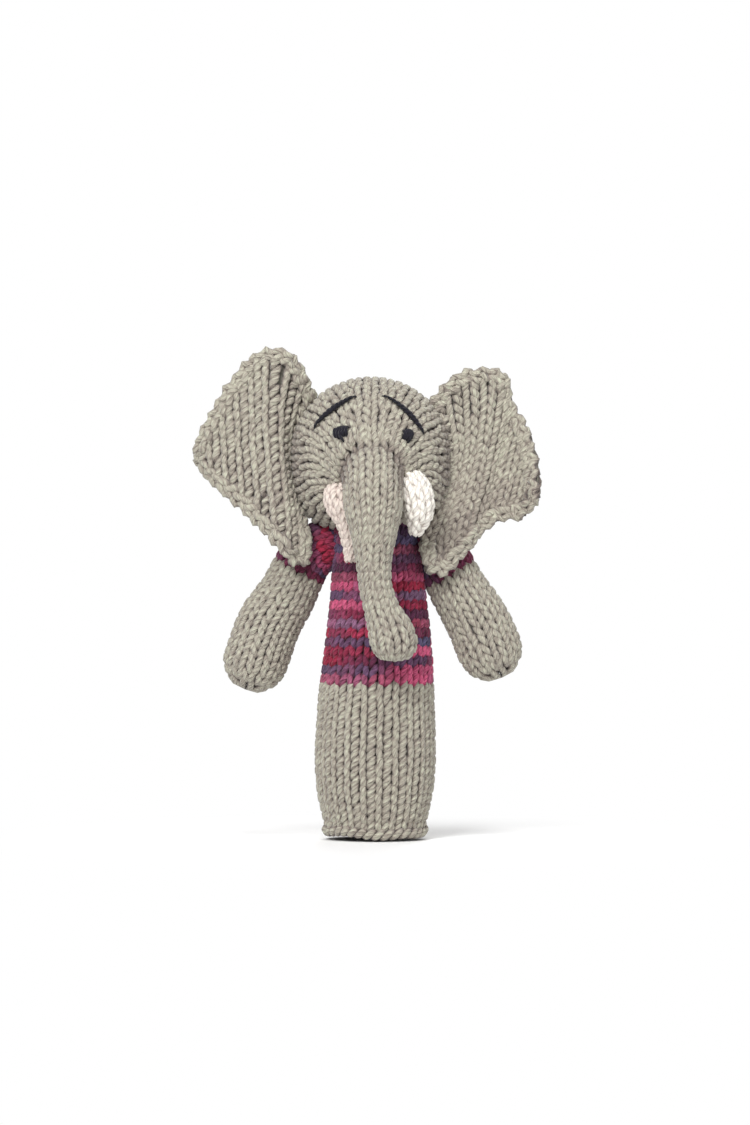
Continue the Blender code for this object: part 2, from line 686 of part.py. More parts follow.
def make_brow(side, line, black, on_face):
    """One long stitch of black yarn, laid in an arc over the eye."""
    at, length = line_through(line)
    curve = bpy.data.curves.new(side + "_eyebrow", "CURVE")
    curve.dimensions = "3D"
    curve.bevel_depth = BROW_RADIUS
    curve.bevel_resolution = 1
    curve.use_fill_caps = True
    spline = curve.splines.new("POLY")
    stops = [length * i / (BROW_POINTS - 1) for i in range(BROW_POINTS)]
    spline.points.add(len(stops) - 1)
    for point, stop in zip(spline.points, stops):
        place, normal = on_face(*at(stop))
        point.co = (*(place + normal * (SEWN_GAP + BROW_RADIUS)), 1)
    curve.materials.append(black)
    brow = bpy.data.objects.new(side + "_eyebrow", curve)
    bpy.context.scene.collection.objects.link(brow)
    return brow


def body_clearance():
    """The body's outside and the gap round it, as a cutter for what is sewn to it."""
    bm = bmesh.new()
    swell = RIDGE / 2 + SEWN_GAP
    rings = [
        plain_ring(bm, body_surface, height, CLEARANCE_COLUMNS, swell)
        for height in rows_between(0, NECK_HEIGHT + CHIN_SINK, COURSE * 3)
    ]
    for first, second in zip(rings, rings[1:]):
        join_rings(bm, first, second)
    close_ring(bm, rings[0], (0, 0, 0))
    close_ring(bm, rings[-1], (0, 0, NECK_HEIGHT + CHIN_SINK))
    return as_cutter(add_object("body_clearance", bm))


def main():
    for obj in list(bpy.data.objects):
        bpy.data.objects.remove(obj)
    grey = material("grey_yarn", GREY_YARN)
    striped = material("striped_yarn", STRIPED_YARN)
    cream = material("cream_yarn", CREAM_YARN)
    black = material("black_yarn", BLACK_YARN)
    stuffing = material("stuffing", STUFFING)

    around_head = as_cutter(head_skin("head_clearance", RIDGE / 2 + SEWN_GAP))
    around_body = body_clearance()
    on_face = face_finder()

    cut_from(make_body(grey, striped), around_head)
    make_head(grey, stuffing)
    for side, line in (("left", LEFT_ARM_LINE), ("right", RIGHT_ARM_LINE)):
        make_arm(side, line, grey, striped, stuffing, (around_body, around_head))
    left_shape = (LEFT_EAR_UPPER, LEFT_EAR_LOWER, LEFT_EAR_SEAM, LEFT_EAR_FORWARD)
    right_shape = (RIGHT_EAR_UPPER, RIGHT_EAR_LOWER, RIGHT_EAR_SEAM, RIGHT_EAR_FORWARD)
    make_ear("left", -1, left_shape, grey, (around_head,))
    make_ear("right", 1, right_shape, grey, (around_head,))
    make_tusk("left", LEFT_TUSK_LINE, LEFT_TUSK_HALF_WIDTHS, cream, (around_head,))
    make_tusk("right", RIGHT_TUSK_LINE, RIGHT_TUSK_HALF_WIDTHS, cream, (around_head,))
    make_eye("left", LEFT_EYE, LEFT_EYE_HALF_WIDTH, black, on_face, (around_head,))
    make_eye("right", RIGHT_EYE, RIGHT_EYE_HALF_WIDTH, black, on_face, (around_head,))
    make_brow("left", LEFT_BROW_LINE, black, on_face)
    make_brow("right", RIGHT_BROW_LINE, black, on_face)


main()
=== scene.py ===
"""The looks of the knitted elephant finger puppet.

Every stitch is a length of yarn. A piece of knitting is a surface, given by the way round it and the
way along it, and a row of stitches is one strand of yarn that loops along that surface. Left and
right are the viewer's, looking at the face.
"""

import math

import bpy
import numpy as np
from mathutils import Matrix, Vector
from mathutils.bvhtree import BVHTree


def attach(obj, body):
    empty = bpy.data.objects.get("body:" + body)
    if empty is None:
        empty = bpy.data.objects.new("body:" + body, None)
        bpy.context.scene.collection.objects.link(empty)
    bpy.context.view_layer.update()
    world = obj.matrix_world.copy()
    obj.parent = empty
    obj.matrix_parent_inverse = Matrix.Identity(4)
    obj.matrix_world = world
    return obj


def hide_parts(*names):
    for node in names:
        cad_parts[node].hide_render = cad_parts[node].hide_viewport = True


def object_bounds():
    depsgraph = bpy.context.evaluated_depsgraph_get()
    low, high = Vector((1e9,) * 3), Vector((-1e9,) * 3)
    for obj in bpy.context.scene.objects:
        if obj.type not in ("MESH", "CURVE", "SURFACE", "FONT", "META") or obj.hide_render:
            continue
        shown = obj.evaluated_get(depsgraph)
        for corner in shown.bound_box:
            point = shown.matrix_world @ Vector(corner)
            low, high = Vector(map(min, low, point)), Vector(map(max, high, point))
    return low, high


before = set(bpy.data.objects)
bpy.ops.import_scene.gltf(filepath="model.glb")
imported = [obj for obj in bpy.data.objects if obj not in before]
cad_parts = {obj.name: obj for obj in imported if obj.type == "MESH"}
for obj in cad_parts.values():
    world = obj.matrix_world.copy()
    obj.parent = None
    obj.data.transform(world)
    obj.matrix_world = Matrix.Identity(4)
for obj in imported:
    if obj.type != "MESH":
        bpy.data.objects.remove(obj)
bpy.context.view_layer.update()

# Gauge: one stitch is a wale wide and a course high
SKIRT_COURSES = 16
JUMPER_COURSES = 18
BODY_ROW_MIDDLE = 0.62  # where a row's middle lies in its course
BODY_WALES = 22
ARM_WALES = 12
ARM_COURSE = 0.00235
HEAD_COURSE = 0.0023
HEAD_WALES = 30
BROW_WALES = 24  # round the face, above the eyes
CHEEK_WALES = 18  # round the face, where the trunk swells out of it
TRUNK_WALES = 12
TRUNK_TIP_WALES = 8
EAR_WALES = {"left": 8, "right": 9}
EAR_COURSE = 0.0024
EAR_RIM = 0.0036  # width of the row of stitches that runs along the edge
EAR_SCALLOP = 0.0005  # how far the edge waves in and out
SCALLOP_LENGTH = EAR_COURSE * 1.55
EDGE_LIFT = 0.0004
EDGE_TURNS_BACK = 0.0030
EAR_LEG_RISE = 0.00078
EAR_LOWER_SHADE = {"left": 0.18, "right": 0.62}  # the lower part lies in its own shade
SEAM_STITCHES = 11
SEAM_SEWN_TO = 0.6  # how far down the seam the ear is sewn to the head
# A stitch of the seam: its share of the way across the ear and its rise, and its steps into the head
SEAM_PATH = ((0.93, 0.0002), (0.97, 0.0013), (1.0, 0.0008))
SEAM_INTO_HEAD = ((0.0022, 0.0002, -0.0004), (0.0010, 0.0010, 0))
HEM_HEIGHT = 0.0014  # of the middle of the twisted cast-on edge
HEM_TWISTS = 17
HEM_TWIST_RISE = 0.0007  # how far its strands wind up and down
HEM_TWIST_OUT = 0.0006  # and in and out
HEM_WAVES = (0.00035, 0.0002)  # how far the whole edge waves up and down, twice and five times round
TUSK_WALES = 6
TUSK_COURSE = 0.0021

# Yarn: half width across the strand, and half depth through the fabric
WOOL = (0.00084, 0.00086)
TUSK_WOOL = (0.00080, 0.00076)
BLACK_WOOL = 0.00052
BROW_WOOL = BLACK_WOOL * 1.34
STITCH_STEPS = 14
STRAND_SIDES = 7
LEG_SPLAY = (0.14, 0.26)  # how far each leg of a stitch leans, in wales; the yarn's twist sets one upright
LEG_REACH = 1.0  # how far a stitch reaches up and down, in courses
PLUMPNESS = (0.74, 0.34)  # share of the full thickness at a stitch's top and feet, and what its legs add
LEG_RISE = 0.00066  # how far the legs stand out of the fabric, and the loops behind them sink in
RIDGE = 0.0004  # the crests of the stitches stand this far out of the surface
# How uneven stitches are: across in wales, up in courses, outwards in metres, and in thickness
UNEVEN = np.array([0.06, 0.10, 0.00008, 0.05])
SQUEEZE = 0.0001  # how far neighbouring strands press into each other
PLIES = 4
PLY_TWIST = 0.75  # how many plies pass in a millimetre along the strand
RELIEF = 0.0003  # height of the plies and fibres in the materials
LINING_DEPTH = WOOL[1] + LEG_RISE - RIDGE
LINING_WALL = 0.0003
EAR_WALL = 0.0004
BAND_HEIGHT = 0.006  # of a strand in the bake's map, such that the map is about square

# Body, as half widths and the heights between them
BODY_HALF_WIDTHS = (0.0118, 0.0143, 0.0143, 0.0131, 0.0117, 0.0108)
BODY_HEIGHTS = (0.0, 0.0115, 0.0340, 0.0480, 0.0610, 0.0790)
BODY_DEPTH_RATIO = 0.87
BODY_SIDEWAYS = (0, 0, 0.0003, 0.0008, 0.0008, 0.0002)  # at those heights, the body leans a little
JUMPER_HEM = 0.0380
JUMPER_NECK = 0.0795

# Head and trunk
HEAD_HALF = (0.0200, 0.0190, 0.0193)
HEAD_OFFSET = -0.0010
CHIN_SINK = 0.0030
CHEEK_FULLNESS = 0.13  # how far the lower cheeks stand out of the ball, as a share of it
HEAD_MIDDLE = np.array([HEAD_OFFSET, 0, BODY_HEIGHTS[-1] - CHIN_SINK + HEAD_HALF[2]])
FACE_EDGE_ANGLE = math.radians(130)
# Front point and back point as (y, z) off the middle of the head, half width, and sideways place
TRUNK_STATIONS = (
    ((-0.0158, 0.0108), (-0.0132, -0.0136), 0.0122, 0.0000),
    ((-0.0181, 0.0067), (-0.0142, -0.0129), 0.0100, 0.0001),
    ((-0.0200, 0.0029), (-0.0151, -0.0129), 0.0080, 0.0003),
    ((-0.0230, -0.0014), (-0.0157, -0.0137), 0.0072, 0.0005),
    ((-0.0252, -0.0063), (-0.0160, -0.0152), 0.0071, 0.0006),
    ((-0.0263, -0.0116), (-0.0160, -0.0174), 0.0068, 0.0006),
    ((-0.0262, -0.0166), (-0.0160, -0.0202), 0.0058, 0.0007),
    ((-0.0254, -0.0216), (-0.0162, -0.0234), 0.0049, 0.0007),
    ((-0.0245, -0.0271), (-0.0164, -0.0277), 0.0041, 0.0007),
    ((-0.0238, -0.0331), (-0.0161, -0.0331), 0.0039, 0.0012),
    ((-0.0237, -0.0386), (-0.0155, -0.0386), 0.0043, 0.0028),
    ((-0.0243, -0.0430), (-0.0150, -0.0430), 0.0053, 0.0047),
    ((-0.0248, -0.0463), (-0.0150, -0.0463), 0.0057, 0.0056),
    ((-0.0241, -0.0489), (-0.0158, -0.0489), 0.0049, 0.0058),
    ((-0.0223, -0.0507), (-0.0175, -0.0507), 0.0029, 0.0059),
    ((-0.0199, -0.0514), (-0.0199, -0.0514), 0.0000, 0.0059),
)
TRUNK_SWELL_INDEX = 2  # the station where the trunk's own wales begin
TRUNK_NARROW_INDEX = 7  # and where they become fewer

# Arms: middle lines as (x, z) off the middle of the neck's rim, and half widths there
LEFT_ARM_LINE = (
    (-0.0100, -0.0068), (-0.0162, -0.0096), (-0.0222, -0.0190), (-0.0266, -0.0262), (-0.0298, -0.0350),
)
RIGHT_ARM_LINE = (
    (0.0098, -0.0068), (0.0152, -0.0094), (0.0216, -0.0187), (0.0260, -0.0260), (0.0287, -0.0322),
)
ARM_HALF_WIDTHS = (0.0050, 0.0060, 0.0071, 0.0078, 0.0079)
ARM_DEPTH_RATIO = 0.86
ARM_SET_BACK = 0.0015
SLEEVE_COURSES = 5
SLEEVE_INSIDE = 2  # more rows of the sleeve run in under the jumper
HAND_CLOSES = 0.0030  # this far from the hand's tip its wales become fewer
SHOULDER_REACH = 0.0095  # the shoulder's fabric is gathered and stands out this far along the arm
SHOULDER_SWELL = 0.0009
SHOULDER_LIFT = 0.0016

# Ears: upper edge, lower edge and seam, as (out, up) from the side and the middle of the head, and how
# far forward the flap is, from its outer point to the head
LEFT_EAR_UPPER = (
    (0.0240, 0.0014), (0.0212, 0.0083), (0.0159, 0.0173), (0.0104, 0.0237), (0.0050, 0.0265),
    (-0.0012, 0.0242), (-0.0062, 0.0145),
)
LEFT_EAR_LOWER = (
    (0.0238, -0.0012), (0.0200, -0.0067), (0.0138, -0.0124), (0.0084, -0.0175), (0.0031, -0.0230),
    (0.0004, -0.0273), (-0.0042, -0.0278),
)
LEFT_EAR_SEAM = (
    (-0.0062, 0.0145), (-0.0023, 0.0085), (0.0001, 0.0015), (0.0004, -0.0055), (-0.0020, -0.0130),
    (-0.0048, -0.0207), (-0.0044, -0.0278),
)
LEFT_EAR_FORWARD = (-0.0015, 0.0012, 0.0028, 0.0048, 0.0005)
RIGHT_EAR_UPPER = (
    (0.0216, -0.0088), (0.0215, -0.0012), (0.0190, 0.0072), (0.0156, 0.0130), (0.0128, 0.0206),
    (0.0030, 0.0208), (-0.0056, 0.0138),
)
RIGHT_EAR_LOWER = (
    (0.0214, -0.0120), (0.0176, -0.0160), (0.0122, -0.0167), (0.0076, -0.0199), (0.0036, -0.0244),
    (-0.0012, -0.0300), (-0.0062, -0.0298),
)
RIGHT_EAR_SEAM = (
    (-0.0056, 0.0138), (-0.0026, 0.0070), (-0.0009, -0.0003), (-0.0014, -0.0080), (-0.0042, -0.0152),
    (-0.0078, -0.0222), (-0.0062, -0.0298),
)
RIGHT_EAR_FORWARD = (0.0062, 0.0022, -0.0004, 0.0014, 0.0020)
EAR_LOBE_FORWARD = 0.0072  # how much further forward the lobe is, where it lies on the shoulder
LOBE_FROM = 0.45  # where that begins, as a share of the way down the ear
EAR_CURL = 0.0022  # how far the lower outer corner bends back
CURL_FROM = 0.3  # where that begins
SEAM_REACH = 4  # the higher, the closer to the head the ear keeps its straight columns

# Crease round the root of the trunk, as an arch on the face off the middle of the head. It begins and is
# full at those places forward and up
CREASE_MIDDLE = (0.0004, -0.0054)
CREASE_HALF = (0.0071, 0.0072)
CREASE_DEPTH = 0.0019
CREASE_WIDTH = 0.0012
CREASE_TOP = 0.45  # how deep it is across the top, as a share
CREASE_FORWARD = (0.0080, 0.0140)
CREASE_UP = (-0.0125, -0.0065)
ROOT_SWELL = 0.0010
BESIDE_EARS = (0.0160, 0.0185)  # how far out from the middle the shade of the ears begins and is full
BACK_OF_EARS = 0.0040  # how far back it reaches

# Tusks: middle lines as (x, y, z) off the middle of the head
LEFT_TUSK_LINE = (
    (-0.0080, -0.0115, -0.0080), (-0.0082, -0.0152, -0.0114),
    (-0.0058, -0.0154, -0.0174), (-0.0050, -0.0140, -0.0270),
)
LEFT_TUSK_HALF_WIDTHS = (0.0028, 0.0034, 0.0025, 0.0012)
RIGHT_TUSK_LINE = (
    (0.0086, -0.0115, -0.0056), (0.0109, -0.0155, -0.0096),
    (0.0118, -0.0158, -0.0142), (0.0108, -0.0142, -0.0204),
)
RIGHT_TUSK_HALF_WIDTHS = (0.0028, 0.0041, 0.0037, 0.0012)

# Face, as (x, z) off the middle of the head
LEFT_EYE = (-0.0072, 0.0051)
RIGHT_EYE = (0.0088, 0.0045)
EYE_STITCHES = 5
EYE_LEAN = 0.0002
EYE_RISE = 0.0011  # how far the eyes' stitches stand out of the face
THREAD_RISE = 0.0010  # the same for the brows and the yarn's ends
# Each eye's middle, half width, half height, how far it rises from left to right, and the yarn's end
EYES = {
    "left": (LEFT_EYE, 0.0021, 0.0013, 0.0003, ((-0.0004, 0.0006), (0.0002, -0.0002), (0.0006, -0.0010))),
    "right": (RIGHT_EYE, 0.0013, 0.0012, 0.0, ((0.0001, 0.0006), (0.0003, -0.0001), (0.0003, -0.0007))),
}
LEFT_BROW_LINE = ((-0.0139, 0.0060), (-0.0114, 0.0088), (-0.0080, 0.0114), (-0.0035, 0.0139))
RIGHT_BROW_LINE = ((0.0026, 0.0140), (0.0057, 0.0123), (0.0092, 0.0094), (0.0129, 0.0047))
BROWS = {"left": (LEFT_BROW_LINE, 0.5), "right": (RIGHT_BROW_LINE, 0.6)}  # and where each is fullest
BROW_TWIST = 0.0024  # one turn of the two plies
BROW_TAPER = 0.66

# Camera and light
METRES_PER_PIXEL = 0.00025
PHOTO_SIZE = (750, 1125)
HEM_PIXEL = 836  # the row of the photo where the hem is
CAMERA_DISTANCE = 1.0
SENSOR = 36.0
# Each lamp's name, place, size and power
LAMPS = (
    ("key", (-0.30, -0.75, 0.60), 0.40, 7.6),
    ("top", (0.0, -0.35, 0.85), 0.35, 2.2),
    ("fill", (0.6, -0.6, 0.2), 0.6, 1.8),
    ("back", (0.1, 0.6, 0.5), 0.5, 3.0),
)
LAMPS_AIM = (0, 0, 0.07)
ROOM_LIGHT = 0.28
FLOOR_REACH = 3.0
FLOOR_FADE = (0.02, 0.10)  # how far from the middle the floor begins to fade, and is white

# Colours
GREY = (0.383, 0.357, 0.291)
CREAM = (0.87, 0.84, 0.76)
# The same cream, painted darker and rosier as shade, for the left tusk
SHADED_CREAM = (0.72, 0.63, 0.56)
BLACK = (0.010, 0.009, 0.016)
# Colour of the sheet behind the jumper's stitches, dark as painted shade in the gaps
STRIPED_LINING_SHADE = (0.06, 0.014, 0.032)

# The dyes of the striped yarn, and how many stitches each one lasts, from the hem of the jumper up
PINK = (0.50, 0.085, 0.175)
ROSE = (0.33, 0.075, 0.13)
CRIMSON = (0.33, 0.022, 0.055)
PLUM = (0.15, 0.024, 0.058)
VIOLET = (0.135, 0.062, 0.125)
LAVENDER = (0.25, 0.12, 0.21)
SLATE = (0.082, 0.070, 0.14)
NAVY = (0.045, 0.021, 0.052)
DYE_RUN = (
    (ROSE, 17), (PINK, 5), (VIOLET, 6), (SLATE, 8), (VIOLET, 3), (PINK, 5), (CRIMSON, 14), (PLUM, 3),
    (VIOLET, 5), (ROSE, 5), (PINK, 6), (CRIMSON, 6), (PINK, 5), (CRIMSON, 6), (VIOLET, 10), (SLATE, 6),
    (PLUM, 5), (CRIMSON, 12), (PLUM, 5), (VIOLET, 6), (LAVENDER, 10), (ROSE, 6), (PINK, 5), (NAVY, 8),
    (PLUM, 4), (NAVY, 5), (CRIMSON, 7), (PINK, 9), (CRIMSON, 6), (ROSE, 5), (SLATE, 6), (VIOLET, 5),
    (LAVENDER, 6), (PINK, 17), (CRIMSON, 9), (ROSE, 12), (PINK, 6), (VIOLET, 5), (SLATE, 7), (NAVY, 4),
    (PLUM, 6), (CRIMSON, 9), (SLATE, 4), (CRIMSON, 3), (VIOLET, 6), (PINK, 5), (VIOLET, 7), (SLATE, 4),
    (ROSE, 6), (PLUM, 8), (VIOLET, 5), (CRIMSON, 4), (SLATE, 5), (NAVY, 9), (PLUM, 5), (NAVY, 8),
    (PLUM, 11), (NAVY, 11),
)
SLEEVE_DYES_FROM = {"left": 286, "right": 330}  # the stitch of that run at which each sleeve begins
DYE_BLUR = 1.6  # over how many stitches one dye runs into the next
BLOTCH_LENGTH = 2.3
LIGHT_LENGTH = 1.1

random = np.random.default_rng(7)


def smooth_through(places, values):
    """A function that runs smoothly through values at places, and stays at the end values beyond."""
    places = np.asarray(places, float)
    values = np.asarray(values, float)
    slopes = np.gradient(values, places, axis=0)

    def at(place):
        place = np.clip(place, places[0], places[-1])
        i = np.clip(np.searchsorted(places, place, side="right") - 1, 0, len(places) - 2)
        span = places[i + 1] - places[i]
        t = (place - places[i]) / span
        if values.ndim > 1:
            span, t = np.asarray(span)[..., None], np.asarray(t)[..., None]
        return (
            values[i] * (1 + 2 * t) * (1 - t) ** 2
            + slopes[i] * span * t * (1 - t) ** 2
            + values[i + 1] * t * t * (3 - 2 * t)
            - slopes[i + 1] * span * t * t * (1 - t)
        )

    return at


def lengths_along(points):
    steps = np.linalg.norm(np.diff(np.asarray(points, float), axis=0), axis=1)
    return np.concatenate([[0.0], np.cumsum(steps)])


def line_through(points):
    places = lengths_along(points)
    return smooth_through(places, points), places[-1]


def unit(vectors):
    return vectors / np.maximum(np.linalg.norm(vectors, axis=-1, keepdims=True), 1e-12)


def ramp(value, start, end):
    """0 up to start, 1 from end on, and even between them."""
    return np.clip((value - start) / (end - start), 0, 1)


def outward(surface, angle, along):
    """Unit normals of a surface."""
    round_it = surface(angle + 1e-3, along) - surface(angle - 1e-3, along)
    along_it = surface(angle, along + 5e-5) - surface(angle, along - 5e-5)
    return unit(np.cross(round_it, along_it))


# Surfaces


BODY_HALF_WIDTH_AT = smooth_through(BODY_HEIGHTS, BODY_HALF_WIDTHS)
BODY_SIDEWAYS_AT = smooth_through(BODY_HEIGHTS, BODY_SIDEWAYS)


def body_surface(angle, height):
    half = BODY_HALF_WIDTH_AT(height)
    across = BODY_SIDEWAYS_AT(height) + half * np.cos(angle)
    return np.stack([across, half * BODY_DEPTH_RATIO * np.sin(angle), height + 0 * angle], -1)


def head_stations():
    """Front point, back point, half width, sideways place and fullness, from the back to the tip."""
    steps = 10
    stations = []
    for i in range(steps):
        turn = FACE_EDGE_ANGLE * i / (steps - 1)
        y, rise = HEAD_HALF[1] * math.cos(turn), HEAD_HALF[2] * math.sin(turn)
        stations.append((y, rise, y, -rise, HEAD_HALF[0] * math.sin(turn), 0, CHEEK_FULLNESS))
    for i, (front, back, half, side) in enumerate(TRUNK_STATIONS):
        left = max(0, 1 - (i + 1) / (TRUNK_SWELL_INDEX + 1))
        stations.append((*front, *back, half, side, CHEEK_FULLNESS * left))
    return np.array(stations)


STATIONS = head_stations()
HEAD_PLACES = lengths_along(STATIONS[:, :2])
HEAD_END = HEAD_PLACES[-1]
FACE_PLACE = HEAD_PLACES[-len(TRUNK_STATIONS) - 1]
TRUNK_PLACES = HEAD_PLACES[-len(TRUNK_STATIONS):]
HEAD_AT = smooth_through(HEAD_PLACES, STATIONS)
# The place on along the head from which it has that many wales
HEAD_WALES_FROM = (
    (0, TRUNK_WALES),
    (0.0045, BROW_WALES),
    (0.0090, HEAD_WALES),
    (FACE_PLACE - 0.004, BROW_WALES),
    (TRUNK_PLACES[0], CHEEK_WALES),
    (TRUNK_PLACES[TRUNK_SWELL_INDEX], TRUNK_WALES),
    (TRUNK_PLACES[TRUNK_NARROW_INDEX], TRUNK_TIP_WALES),
)


def head_surface(angle, along):
    y, z, back_y, back_z, half, side, fullness = np.moveaxis(HEAD_AT(along), -1, 0)
    front, back = np.stack([side, y, z], -1), np.stack([side, back_y, back_z], -1)
    change = np.moveaxis(HEAD_AT(along + 5e-4) - HEAD_AT(along - 5e-4), -1, 0)
    run = unit(np.stack([change[5], change[0] + change[2], change[1] + change[3]], -1))
    across = unit(np.array([1.0, 0, 0]) - run * run[..., :1])
    full = 1 + fullness * np.where(np.sin(angle) < 0, np.sin(2 * angle) ** 2, 0)
    ring = across * (half * np.cos(angle))[..., None] + (front - back) / 2 * np.sin(angle)[..., None]
    point = (front + back) / 2 + ring * full[..., None]
    crease, swell = crease_at(point)
    push = CREASE_DEPTH * crease - ROOT_SWELL * swell
    return HEAD_MIDDLE + point + np.stack([0 * push, push, 0 * push], -1)


def crease_at(point):
    """How deep in the crease round the trunk's root a point of the head is, and how far inside it."""
    across = (point[..., 0] - CREASE_MIDDLE[0]) / CREASE_HALF[0]
    up = np.maximum(point[..., 2] - CREASE_MIDDLE[1], 0) / CREASE_HALF[1]
    away = (np.hypot(across, up) - 1) * CREASE_HALF[0]
    near = ramp(-point[..., 1], *CREASE_FORWARD) * ramp(point[..., 2], *CREASE_UP)
    # Deep at the sides, and only a dip across the top
    beside = CREASE_TOP + (1 - CREASE_TOP) * ramp(np.abs(across), 0.25, 0.875)
    depth = np.exp(-((away / CREASE_WIDTH) ** 2)) * beside
    return depth * near, ramp(-away, 0, 0.003) * near


def head_shade(points):
    """Where the head lies in the shade: in the crease, and beside the ears."""
    point = points - HEAD_MIDDLE
    beside = ramp(np.abs(point[..., 0]), *BESIDE_EARS) * (point[..., 1] < BACK_OF_EARS)
    return np.clip(np.maximum(1.2 * crease_at(point)[0], 0.8 * beside), 0, 1)


def arm_surface_from(line, widths):
    points = np.array([(x, ARM_SET_BACK, BODY_HEIGHTS[-1] + z) for x, z in line])
    at, length = line_through(points)
    half_at = smooth_through(lengths_along(points), widths)
    forward = np.array([0.0, -1.0, 0.0])

    def surface(angle, along):
        # Past the middle line's end comes the round tip of the hand, over which the last rows close
        over = ramp(along, length, length + widths[-1])
        place = np.clip(along, 0, length)
        run = unit(at(place + 1e-4) - at(place - 1e-4))
        across = unit(np.cross(forward, run))
        shoulder = np.exp(-((along / SHOULDER_REACH) ** 2))
        half = half_at(place) * np.sqrt(np.maximum(0, 1 - over**2)) + SHOULDER_SWELL * shoulder
        middle = at(place) + run * (over * widths[-1] + np.minimum(along, 0))[..., None]
        middle = middle + np.array([0, 0, SHOULDER_LIFT]) * shoulder[..., None]
        return (
            middle
            + across * (half * np.cos(angle))[..., None]
            + forward * (half * ARM_DEPTH_RATIO * np.sin(angle))[..., None]
        )

    return surface, length + widths[-1]


def tapered_surface_from(line, widths):
    line = HEAD_MIDDLE + np.array(line)
    at, length = line_through(line)
    half_at = smooth_through(lengths_along(line), widths)

    def surface(angle, along):
        place = np.clip(along, 0, length)
        run = unit(at(place + 1e-4) - at(place - 1e-4))
        across = unit(np.cross(run, np.array([0.0, -1.0, 0.0])))
        other = np.cross(run, across)
        half = half_at(place)
        return (
            at(place)
            + across * (half * np.cos(angle))[..., None]
            + other * (half * np.sin(angle))[..., None]
        )

    return surface, length


def ear_surface_from(outwards, upper, lower, seam, forward):
    """The middle of the ear's fabric at (across from the outer point to the head, down from the top)."""
    upper_at, lower_at, seam_at, forward_at = (
        smooth_through(np.linspace(0, 1, len(values)), values) for values in (upper, lower, seam, forward)
    )
    top, bottom = np.array(upper[-1]), np.array(lower[-1])

    def surface(across, down):
        share, edge = down[..., None], across[..., None]
        bow = (seam_at(down) - top * (1 - share) - bottom * share) * np.clip(edge, 0, 1) ** SEAM_REACH
        flat = upper_at(across) * (1 - share) + lower_at(across) * share + bow
        lobe = EAR_LOBE_FORWARD * across * np.maximum(0.0, down - LOBE_FROM) / (1 - LOBE_FROM)
        curl = EAR_CURL * (1 - across) * np.maximum(0.0, down - CURL_FROM) / (1 - CURL_FROM)
        x = outwards * (HEAD_HALF[0] + flat[..., 0])
        return HEAD_MIDDLE + np.stack([x, curl - lobe - forward_at(across), flat[..., 1]], -1)

    return surface


# Strands of yarn


